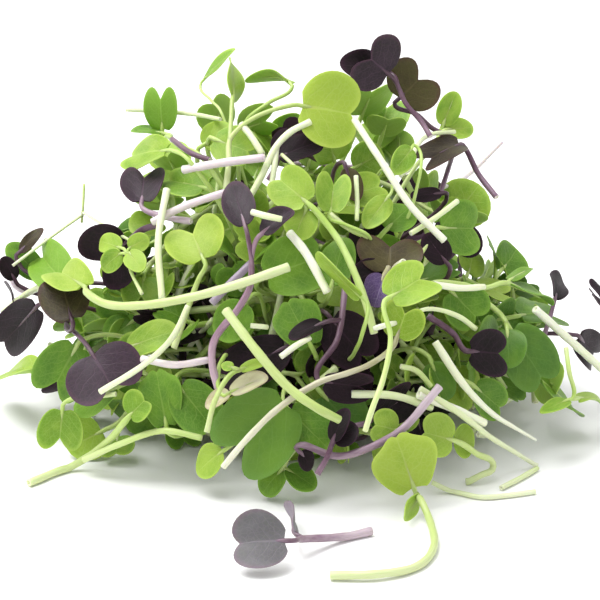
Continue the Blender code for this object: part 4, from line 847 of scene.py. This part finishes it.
def finishes_of(name, look, leaves):
    """The finish of each of a sprout's leaves, and that of its stem."""
    leaf, stem = FINISHES[look]
    own, stem = OWN_FINISHES.get(name, ((), stem))
    return [*own, *[leaf] * (len(leaves) - len(own))], stem


def grow_bare(bunch, points, width, finish, chance, point=1.0, fineness=FINE):
    """Adds a cut stem with no leaves, drawn out at its start to that share of its width."""
    _, sides, spacing = fineness
    path, runs, _ = smooth_path(points, spacing)
    shares = runs / runs[-1]
    radii = np.interp(shares, BARE_PLACES, (point, *BARE_WIDTHS)) * width / 2
    add_tube(bunch, path, radii, finish, shares * BARE_GROWTH, chance, (True, True), sides)


def grow(bunch, points, width, leaves, finishes, chance, fineness=FINE):
    """Adds a whole sprout: a stem that runs on as its first leaf's stalk, the other stalks and the blades."""
    leaf_finishes, stem_finish = finishes
    if not leaves:
        grow_bare(bunch, points, width, stem_finish, chance, 1.0, fineness)
        return
    grid, sides, spacing = fineness
    head = width * HEAD_SHARE
    stalk = min(STALK_RADIUS, head)
    stem, head_at = None, 0
    for leaf, leaf_finish in zip(leaves, leaf_finishes):
        is_first = stem is None
        led = leaf_path(points if is_first else [fork_point(stem, head_at, leaf)], leaf)
        path, runs, marks = smooth_path(led + rib_points(leaf), spacing)
        into = marks[len(led) - 1]
        if is_first:
            head_at = int(np.argmin(np.linalg.norm(path - np.array(points[-1]), axis=1)))
            parts_at = min(runs[head_at], into - FORK_LEAD)
            stops = (0, parts_at, parts_at + FORK_RUN, into, runs[-1])
            radii = np.interp(runs, stops, (width / 2, head, stalk, stalk, RIB_TIP))
            stem = path[:int(np.searchsorted(runs, into)) + 1]
            head_at = min(head_at, len(stem) - 1)
        else:
            widths = (min(head, FORK_SWELL * stalk), stalk, stalk, RIB_TIP)
            radii = np.interp(runs, (0, FORK_RUN, into, runs[-1]), widths)
        shares = np.interp(runs, (0, into), (0 if is_first else STALK_GROWTH, 1))
        add_tube(bunch, path, radii, stem_finish, shares, chance, (is_first, False), sides)
        add_blade(bunch, leaf, leaf_finish, chance, grid)


def solids_tree(nodes):
    """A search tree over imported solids."""
    points, faces = [], []
    for node in nodes:
        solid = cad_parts[node]
        faces += [[i + len(points) for i in p.vertices] for p in solid.data.polygons]
        points += [solid.matrix_world @ v.co for v in solid.data.vertices]
    return BVHTree.FromPolygons(points, faces)


def misses(tree, leaves, points=(), rays=PROBE_RAYS, measured=COARSE_RAYS):
    """How far leaves' rims and other points lie from a solid's surface: the worst, and all together."""
    spots = [Vector(p) for p in points]
    for leaf in leaves:
        rims, _, _ = blade_middle(leaf, np.ones(len(rays)), np.array(rays), measured)
        spots += [Vector(spot) for spot in on_table(rims, SOLID_REST)]
    gaps = [tree.find_nearest(spot)[3] for spot in spots]
    return max(gaps), sum(gaps)


def brought_out(tree, stem, leaves, turn, sign=1):
    """How far a solid was moved along its view to clear the others: the step where this row meets it best."""
    step = view_direction(0, 0, sign, turn) * NUDGE
    best, least = Vector(), math.inf
    for steps in range(MOST_NUDGES):
        offset = step * steps
        placed = [placed_leaf(leaf, turn, offset) for leaf in leaves]
        ends = [on_face(place, turn) + offset for place in (stem[0], stem[-1])] if stem and not leaves else []
        miss = misses(tree, placed, ends)[1]
        if miss < least:
            best, least = offset, miss
    return best


def drawn_in(height):
    """How far out a drawn sprout's head lies at a share of the heap's height: less around the middle."""
    return (1 - height**MOUND_SWELL) * (1 - MOUND_WAIST * math.sin(math.pi * height))


def tangle_sprout(lot):
    """One drawn sprout of the tangle, as (stem points, width, leaves), from the core to the heap's face."""
    turn = lot.triangular(-math.pi / 2, 3 * math.pi / 2, math.pi / 2)
    height = lot.triangular(0.03, 0.8, 0.2)
    lean = lot.uniform(-1.3, 1.3)
    share = lot.uniform(0.72, 0.93)
    sag = lot.uniform(-6, 8) * MM
    width = lot.uniform(1.3, 1.9) * MM
    reach = share * drawn_in(height)
    head = Vector((
        MOUND_WIDTH * reach * math.cos(turn),
        MOUND_DEPTH * reach * math.sin(turn),
        MOUND_HEIGHT * height * share + HEAD_LIFT,
    ))
    low = 0.15 + 0.5 * height
    root = Vector((
        CORE_WIDTH * ROOT_SHARE * (1 - low**2) * math.cos(turn + lean),
        CORE_DEPTH * ROOT_SHARE * (1 - low**2) * math.sin(turn + lean),
        CORE_HEIGHT * low,
    ))
    middle = (root + head) / 2 + Vector((0, 0, sag))
    outward = (head - middle).normalized()
    sideways = outward.cross(Vector((0, 0, 1))).normalized()
    leaves = []
    for side in (-1, 1):
        spread = lot.uniform(0.5, 1.1) * side
        lift = Vector((0, 0, lot.uniform(-0.2, 0.6)))
        breadth = lot.uniform(*LEAF_BREADTHS) * MM
        kind = lot.choice(DRAWN_KINDS)
        direction = (outward * math.cos(spread) + sideways * math.sin(spread) + lift).normalized()
        base = head + direction * STALK_REACH * MM
        tip = base + direction * breadth * DRAWN_LENGTH
        facing = outward * lot.uniform(0.2, 1) + Vector((0, 0, lot.uniform(0.3, 1)))
        leaves.append((kind, base, tip, breadth, facing, SLIGHT_CUP, SLIGHT_CURL))
    return [root, middle, head], width, leaves


def mound_point(turn, height, share):
    """A point at that share of the way from the heap's middle to its face."""
    reach = share * drawn_in(max(height, 0))
    level = MOUND_HEIGHT * max(height, 0) * share + INNER_LIFT
    return Vector((MOUND_WIDTH * reach * math.cos(turn), MOUND_DEPTH * reach * math.sin(turn), level))


def inner_stem(turn, height, share, heading, run):
    """The points of a stem that lies along inside the heap's face, sinking a little toward its cut end."""
    girth = max(MOUND_WIDTH * share * drawn_in(height), LEAST_GIRTH)
    stem = []
    for back in (1.0, 0.5, 0.0):
        swing = turn - math.cos(heading) * run * back / girth
        climb = height - math.sin(heading) * run * back / MOUND_HEIGHT
        stem.append(mound_point(swing, min(max(climb, 0.0), 0.95), share - INWARD_SLANT * back))
    return stem


def inner_sprout(lot):
    """One drawn sprout lying along inside the heap's face: (stem points, width, leaves, look)."""
    turn = lot.uniform(0, 2 * math.pi)
    height = lot.triangular(0.0, 0.86, 0.16)
    share = lot.uniform(0.42, 0.95)
    heading = lot.uniform(0, 2 * math.pi)
    run = lot.uniform(14, 34) * MM
    stem = inner_stem(turn, height, share, heading, run)
    outward = Vector((
        math.cos(turn) / MOUND_WIDTH,
        math.sin(turn) / MOUND_DEPTH,
        height / MOUND_HEIGHT * FACE_RISE,
    ))
    outward = (outward.normalized() + Vector([lot.uniform(-0.55, 0.55) for _ in range(3)])).normalized()
    ahead = (stem[-1] - stem[-2]).normalized()
    sideways = outward.cross(ahead).normalized()
    # Deeper sprouts take darker looks as painted shade, and those near the face or high up take lighter looks
    # as painted light.
    looks = LIT_OUTER_LOOKS if share > OUTER_SHARE or height > OUTER_HEIGHT else SHADED_DEEP_LOOKS
    look = lot.choices(list(looks), list(looks.values()))[0]
    width = lot.uniform(1.2, 2.0) * MM
    leaves = []
    for side in (-1, 1):
        spread = lot.uniform(0.35, 1.15) * side
        breadth = lot.uniform(*INNER_BREADTHS) * MM
        kind = lot.choice(DRAWN_KINDS)
        direction = (ahead * math.cos(spread) + sideways * math.sin(spread) + outward * 0.25).normalized()
        base = stem[-1] + direction * lot.uniform(2, 5) * MM
        tip = base + direction * breadth * DRAWN_LENGTH
        facing = outward + ahead * lot.uniform(-0.4, 0.4) + sideways * lot.uniform(-0.5, 0.5)
        cup, curl = lot.uniform(0.05, 0.35), lot.uniform(-0.1, 0.3)
        leaves.append((kind, base, tip, breadth, facing, cup, curl))
    return stem, width, [] if look == "pale_stem" else leaves, look


# Node helpers. A value that is a socket is linked, and any other is set.
def feed(tree, socket, value):
    if isinstance(value, bpy.types.NodeSocket):
        tree.links.new(value, socket)
    else:
        socket.default_value = value


def add_node(tree, kind, **settings):
    made = tree.nodes.new(kind)
    for setting, value in settings.items():
        setattr(made, setting, value)
    return made


def maths(tree, operation, *values):
    made = add_node(tree, "ShaderNodeMath", operation=operation)
    for socket, value in zip(made.inputs, values):
        feed(tree, socket, value)
    return made.outputs[0]


def times(tree, first, second):
    return maths(tree, "MULTIPLY", first, second)


def plus(tree, first, second):
    return maths(tree, "ADD", first, second)


def less(tree, first, second):
    return maths(tree, "SUBTRACT", first, second)


def ramp(tree, value, low, high, start=0.0, end=1.0):
    """A smooth step from start to end as the value goes from low to high."""
    made = add_node(tree, "ShaderNodeMapRange", interpolation_type="SMOOTHSTEP")
    for socket, setting in zip(made.inputs, (value, low, high, start, end)):
        feed(tree, socket, setting)
    return made.outputs[0]


def mixed(tree, factor, first, second):
    made = add_node(tree, "ShaderNodeMix", data_type="RGBA")
    for socket, value in ((made.inputs[0], factor), (made.inputs[6], first), (made.inputs[7], second)):
        feed(tree, socket, value)
    return made.outputs[2]


def moved_place(tree, vector, shift, scale):
    """A vector stretched by scale and moved by another vector, so that no two leaves have one pattern."""
    stretched = add_node(tree, "ShaderNodeVectorMath", operation="MULTIPLY")
    feed(tree, stretched.inputs[0], vector)
    stretched.inputs[1].default_value = scale
    shifted = add_node(tree, "ShaderNodeVectorMath", operation="MULTIPLY_ADD")
    feed(tree, shifted.inputs[0], shift)
    shifted.inputs[1].default_value = (31.0, 0.0, 17.0)
    tree.links.new(stretched.outputs[0], shifted.inputs[2])
    return shifted.outputs[0]


def noise(tree, vector, scale, detail=2.0):
    made = add_node(tree, "ShaderNodeTexNoise")
    feed(tree, made.inputs["Vector"], vector)
    made.inputs["Scale"].default_value = scale
    made.inputs["Detail"].default_value = detail
    return made.outputs["Fac"]


def new_group(name, inputs, outputs):
    group = bpy.data.node_groups.new(name, "ShaderNodeTree")
    for label in inputs:
        group.interface.new_socket(label, in_out="INPUT", socket_type="NodeSocketVector")
    for label in outputs:
        group.interface.new_socket(label, in_out="OUTPUT", socket_type="NodeSocketFloat")
    return group, group.nodes.new("NodeGroupInput"), group.nodes.new("NodeGroupOutput")


def side_veins(tree, along, across, margin, wander):
    """A mask of veins that lean forward from the midrib, bow a little and fade toward the margin."""
    lean = less(tree, along, times(tree, across, VEIN_LEAN))
    lean = less(tree, lean, times(tree, times(tree, across, across), VEIN_BOW))
    lean = plus(tree, lean, times(tree, wander, VEIN_STRAY))
    phase = maths(tree, "FRACT", plus(tree, times(tree, lean, SIDE_VEINS), 10.0))
    off = maths(tree, "ABSOLUTE", less(tree, phase, 0.5))
    return times(tree, ramp(tree, off, 0.435, 0.5), ramp(tree, margin, 0.98, 0.7, 0.1, 1.0))


def leaf_veins_group():
    """Masks of a leaf's midrib and side veins, of the fine net between them, and a height for both."""
    group, given, result = new_group("Leaf veins", ("Growth", "Lot"), ("Veins", "Net", "Height"))
    growth, lot = given.outputs[:2]
    split = add_node(group, "ShaderNodeSeparateXYZ")
    group.links.new(growth, split.inputs[0])
    along, side, margin = split.outputs
    wander = less(group, noise(group, moved_place(group, growth, lot, (1, 0.6, 0)), 3.5), 0.5)
    across = maths(group, "ABSOLUTE", plus(group, side, times(group, wander, MIDRIB_STRAY)))
    rib_width = ramp(group, along, 0.0, 0.9, 0.075, 0.02)
    rib = less(group, 1.0, ramp(group, maths(group, "DIVIDE", across, rib_width), 0.35, 1.0))
    branch = side_veins(group, along, across, margin, wander)
    cells = add_node(group, "ShaderNodeTexVoronoi", feature="DISTANCE_TO_EDGE")
    feed(group, cells.inputs["Vector"], moved_place(group, growth, lot, (1, 0.62, 0)))
    cells.inputs["Scale"].default_value = NET_CELLS
    net = less(group, 1.0, ramp(group, cells.outputs["Distance"], 0.0, 0.12))
    veins = maths(group, "MAXIMUM", rib, times(group, branch, 0.75))
    height = plus(group, times(group, veins, -1.0), times(group, net, -0.3))
    for socket, value in zip(result.inputs, (veins, net, height)):
        group.links.new(value, socket)
    return group


def stem_fibre_group():
    """A mask of fine lengthwise streaks and one of slow blotches, the same all round a stem."""
    group, given, result = new_group("Stem fibre", ("Growth", "Lot"), ("Streaks", "Blotches"))
    growth, lot = given.outputs[:2]
    streaks = noise(group, moved_place(group, growth, lot, (1.5, 1, 1)), 7.0, 3.0)
    blotches = noise(group, moved_place(group, growth, lot, (6, 0.4, 0.4)), 1.6)
    group.links.new(ramp(group, streaks, 0.35, 0.7), result.inputs[0])
    group.links.new(ramp(group, blotches, 0.35, 0.65), result.inputs[1])
    return group


def held_values(tree, label):
    """What the mesh holds under a label, as one vector and as its three parts."""
    read = add_node(tree, "ShaderNodeAttribute", attribute_name=label)
    split = add_node(tree, "ShaderNodeSeparateXYZ")
    tree.links.new(read.outputs["Vector"], split.inputs[0])
    return read.outputs["Vector"], split.outputs


def placed_group(tree, group, growth, lot):
    """A group in a material, fed with what the mesh holds."""
    made = add_node(tree, "ShaderNodeGroup", node_tree=group)
    tree.links.new(growth, made.inputs[0])
    tree.links.new(lot, made.inputs[1])
    return made


def opaque(colour):
    return (*colour, 1.0)


def new_finish(name):
    made = bpy.data.materials.new(name)
    made.use_nodes = True
    return made, made.node_tree, made.node_tree.nodes["Principled BSDF"]


def give_surface(tree, shader, colour, relief, bump, weight, glow):
    """Gives a shader its colour, a bump of that relief, and how far light goes through."""
    tree.links.new(colour, shader.inputs["Base Color"])
    raised = add_node(tree, "ShaderNodeBump")
    raised.inputs["Strength"].default_value, raised.inputs["Distance"].default_value = bump
    tree.links.new(relief, raised.inputs["Height"])
    tree.links.new(raised.outputs["Normal"], shader.inputs["Normal"])
    shader.inputs["Subsurface Weight"].default_value = weight
    shader.inputs["Subsurface Radius"].default_value, shader.inputs["Subsurface Scale"].default_value = glow


def leaf_material(name):
    young, old, vein, rim, under, strength, roughness, glow, gloss = LEAF_FINISHES[name]
    made, tree, shader = new_finish(name)
    growth, (_, _, margin) = held_values(tree, "growth")
    lot, (own, upper, _) = held_values(tree, "lot")
    veins = placed_group(tree, groups["veins"], growth, lot)
    patches = noise(tree, moved_place(tree, growth, lot, (1, 0.7, 0)), 2.2)
    age = maths(tree, "MULTIPLY_ADD", own, OWN_AGE, maths(tree, "MULTIPLY_ADD", patches, PATCH_AGE, YOUNGER))
    colour = mixed(tree, ramp(tree, age, 0.25, 1.0), opaque(young), opaque(old))
    colour = mixed(tree, ramp(tree, margin, 0.86, 1.0, 0.0, MARGIN_TINT), colour, opaque(rim))
    lines = maths(tree, "MAXIMUM", veins.outputs["Veins"], times(tree, veins.outputs["Net"], NET_TINT))
    colour = mixed(tree, times(tree, lines, strength), colour, opaque(vein))
    colour = mixed(tree, ramp(tree, upper, 1.0, 0.0, 0.0, UNDER_TINT), colour, opaque(under))
    rough = maths(tree, "MULTIPLY_ADD", patches, 0.2, roughness - 0.1)
    tree.links.new(rough, shader.inputs["Roughness"])
    shader.inputs["Specular IOR Level"].default_value = gloss
    give_surface(tree, shader, colour, veins.outputs["Height"], LEAF_BUMP, glow, LEAF_GLOW)
    return made


def stem_material(name):
    cut_end, halfway, at_leaves, face = STEM_FINISHES[name]
    made, tree, shader = new_finish(name)
    growth, (along, _, _) = held_values(tree, "growth")
    lot, (own, _, _) = held_values(tree, "lot")
    fibre = placed_group(tree, groups["fibre"], growth, lot)
    place = plus(tree, along, maths(tree, "MULTIPLY_ADD", own, 0.5, -0.25))
    colour = mixed(tree, ramp(tree, place, 0.0, 0.5), opaque(cut_end), opaque(halfway))
    colour = mixed(tree, ramp(tree, place, 0.5, 1.05), colour, opaque(at_leaves))
    colour = mixed(tree, times(tree, fibre.outputs["Streaks"], STEM_TINT), colour, opaque(at_leaves))
    colour = mixed(tree, times(tree, fibre.outputs["Blotches"], STEM_TINT), colour, opaque(cut_end))
    colour = mixed(tree, ramp(tree, along, -0.05, -0.6), colour, opaque(face))
    shader.inputs["Roughness"].default_value = STEM_ROUGHNESS
    give_surface(tree, shader, colour, fibre.outputs["Streaks"], STEM_BUMP, STEM_GLOW_WEIGHT, STEM_GLOW)
    return made


def finish_material(name):
    """The material of a leaf or stem finish, made once."""
    found = bpy.data.materials.get(name)
    if found:
        return found
    return leaf_material(name) if name in LEAF_FINISHES else stem_material(name)


def front_rows():
    """Every sprout that is a node of its own, with its node, its turn and its row."""
    rows = {row[0]: row for row in SPROUTS}
    for row in SPROUTS:
        yield row[0], 0.0, row
    for name, turn in TURNED:
        yield f"{name}_turned_{turn}", math.radians(turn), rows[name]


def grow_own_sprouts():
    """A fine sprout for each node but the tangle, where its solid lies."""
    for node, turn, (name, look, width, stem, leaves) in front_rows():
        offset = brought_out(solids_tree([node]), stem, leaves, turn)
        bunch = Bunch()
        points = [on_face(place, turn) + offset for place in stem]
        placed = [placed_leaf(leaf, turn, offset) for leaf in leaves]
        finishes, chance = finishes_of(name, look, leaves), random.Random(node)
        if name in POINTED_STEMS:
            grow_bare(bunch, points, width * MM, finishes[1], chance, POINTED_STEMS[name])
        else:
            grow(bunch, points, width * MM, placed, finishes, chance)
        piece = bunch.piece(f"{node}_sprout", look)
        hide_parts(node)


def grow_carried(tangle):
    """The front's own small sprouts, from the core out to where the tangle has them."""
    bunch = Bunch()
    for name, look, width, stem, leaves in CARRIED:
        offset = brought_out(tangle, stem, leaves, 0.0)
        points = [on_face(place) + offset for place in stem]
        points.insert(0, core_root(points[0]))
        placed = [placed_leaf(leaf, 0.0, offset) for leaf in leaves]
        grow(bunch, points, width * MM, placed, finishes_of(name, look, leaves), random.Random(name))
    return bunch.piece("carried_sprouts", "green")


def grow_single(bunch, look, leaf, width, chance):
    """Adds one placed leaf on a stem that leads out to it from the core."""
    root = core_root(leaf[1])
    middle = (root + leaf[1]) / 2 + Vector((0, 0, STEM_ARCH))
    grow(bunch, [root, middle], width, [leaf], finishes_of("", look, [leaf]), chance)


def grow_deeper(tangle):
    """The leaves deeper in the front, set back as far as the tangle has them."""
    bunch, chance = Bunch(), random.Random(DEEPER_CHANCE)
    for look, leaf in DEEPER_LEAVES:
        offset = brought_out(tangle, (), [leaf], 0.0, -1)
        grow_single(bunch, look, placed_leaf(leaf, 0.0, offset), DEEPER_WIDTH, chance)
    return bunch.piece("deeper_sprouts", "green")


def grow_tangle(tangle):
    """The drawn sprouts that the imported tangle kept."""
    bunch, lot, chance = Bunch(), random.Random(TANGLE_SEED), random.Random(TANGLE_CHANCE)
    for _ in range(TANGLE_DRAWS):
        stem, width, leaves = tangle_sprout(lot)
        if misses(tangle, leaves, (), FEW_RAYS[1:-1], FEW_RAYS)[0] > SAME_PLACE:
            continue
        look = chance.choice(TANGLE_LOOKS)
        # Sprouts high on the heap are drawn light green: painted light on its top.
        if stem[-1].z > PAINTED_LIGHT_ABOVE:
            look = "light_green"
        grow(bunch, stem, width, leaves, finishes_of("", look, leaves), chance, PLAIN)
    return bunch.piece("tangle_sprouts", "green")


def grow_inner():
    """Fills the heap behind the sprouts that have nodes, clear of their solids: a piece for each look."""
    near = solids_tree([node for node, _, _ in front_rows()])
    bunches = {look: Bunch() for look in LIT_OUTER_LOOKS}
    lot, chance, kept = random.Random(INNER_SEED), random.Random(INNER_CHANCE), 0
    for _ in range(INNER_DRAWS):
        stem, width, leaves, look = inner_sprout(lot)
        trial = Bunch()
        grow(trial, stem, width, leaves, finishes_of("", look, leaves), chance, PLAINEST)
        skin = BVHTree.FromPolygons(np.concatenate(trial.points).tolist(), trial.faces)
        if skin.overlap(near):
            continue
        bunches[look].take(trial)
        kept += 1
        if kept == INNER_SPROUTS:
            break
    return [bunch.piece(f"inner_{look}_sprouts", look) for look, bunch in bunches.items()]


def grow_seen_stems_and_painted_shade():
    """The stems that show between the sprouts that have nodes, and the dark leaves in the hollows, which are
    partly painted shade.
    """
    bunch, chance = Bunch(), random.Random(SEEN_CHANCE)
    for finish, width, places in SEEN_STEMS:
        grow_bare(bunch, [on_face(place) for place in places], width * MM, finish, chance)
    # Dark leaves in the hollows: partly dark leaves, partly painted shade where the heap is darkest.
    for look, leaf in PAINTED_SHADE_LEAVES:
        grow_single(bunch, look, placed_leaf(leaf, 0.0, Vector()), PAINTED_SHADE_WIDTH, chance)
    return bunch.piece("seen_stems_and_painted_shade", "pale_stem")


def lay_table():
    """The white table that the heap lies on."""
    mesh = bpy.data.meshes.new("floor")
    corners = [(x * TABLE_REACH, y * TABLE_REACH, 0) for x, y in ((-1, -1), (1, -1), (1, 1), (-1, 1))]
    mesh.from_pydata(corners, [], [(0, 1, 2, 3)])
    floor = bpy.data.objects.new("floor", mesh)
    bpy.context.scene.collection.objects.link(floor)
    made, _, shader = new_finish("white table")
    shader.inputs["Base Color"].default_value = opaque(TABLE_COLOUR)
    shader.inputs["Roughness"].default_value = TABLE_ROUGHNESS
    mesh.materials.append(made)


def stand_camera(centre):
    """The camera, where the photograph was taken from."""
    back = Vector((0, -math.cos(VIEW_TILT), math.sin(VIEW_TILT)))
    camera = bpy.data.cameras.new("camera")
    camera.sensor_width = SENSOR_WIDTH
    camera.lens = CAMERA_LENS
    camera.clip_start = CLIP_START
    viewer = bpy.data.objects.new("camera", camera)
    viewer.location = centre + back * VIEW_DISTANCE
    viewer.rotation_euler = (-back).to_track_quat("-Z", "Y").to_euler()
    bpy.context.scene.collection.objects.link(viewer)
    bpy.context.scene.camera = viewer


def light_room(centre):
    """An even white room, with one high window to the left."""
    world = bpy.data.worlds.new("white room")
    bpy.context.scene.world = world
    world.use_nodes = True
    room = world.node_tree.nodes["Background"]
    room.inputs["Color"].default_value = (1, 1, 1, 1)
    room.inputs["Strength"].default_value = ROOM_LIGHT
    light = bpy.data.lights.new("high window", "AREA")
    light.size = WINDOW_SIZE
    light.energy = WINDOW_POWER
    lamp = bpy.data.objects.new("high window", light)
    lamp.location = WINDOW_PLACE
    lamp.rotation_euler = (Vector(WINDOW_PLACE) - centre).to_track_quat("Z", "Y").to_euler()
    bpy.context.scene.collection.objects.link(lamp)
    bpy.context.scene.view_settings.view_transform = "Standard"


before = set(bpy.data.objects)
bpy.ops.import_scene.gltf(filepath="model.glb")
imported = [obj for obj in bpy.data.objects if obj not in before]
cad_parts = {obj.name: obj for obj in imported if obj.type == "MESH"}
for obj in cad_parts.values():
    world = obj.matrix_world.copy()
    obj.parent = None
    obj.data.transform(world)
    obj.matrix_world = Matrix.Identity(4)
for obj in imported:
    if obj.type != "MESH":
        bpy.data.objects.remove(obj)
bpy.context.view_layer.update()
groups = {"veins": leaf_veins_group(), "fibre": stem_fibre_group()}
view_centre = Vector((0, 0, VIEW_HEIGHT))
lay_table()
stand_camera(view_centre)
light_room(view_centre)
grow_own_sprouts()
tangle_tree = solids_tree(["green_tangle"])
for piece in (grow_carried(tangle_tree), grow_deeper(tangle_tree), grow_tangle(tangle_tree), grow_seen_stems_and_painted_shade(),
              *grow_inner()):
    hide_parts("green_tangle")
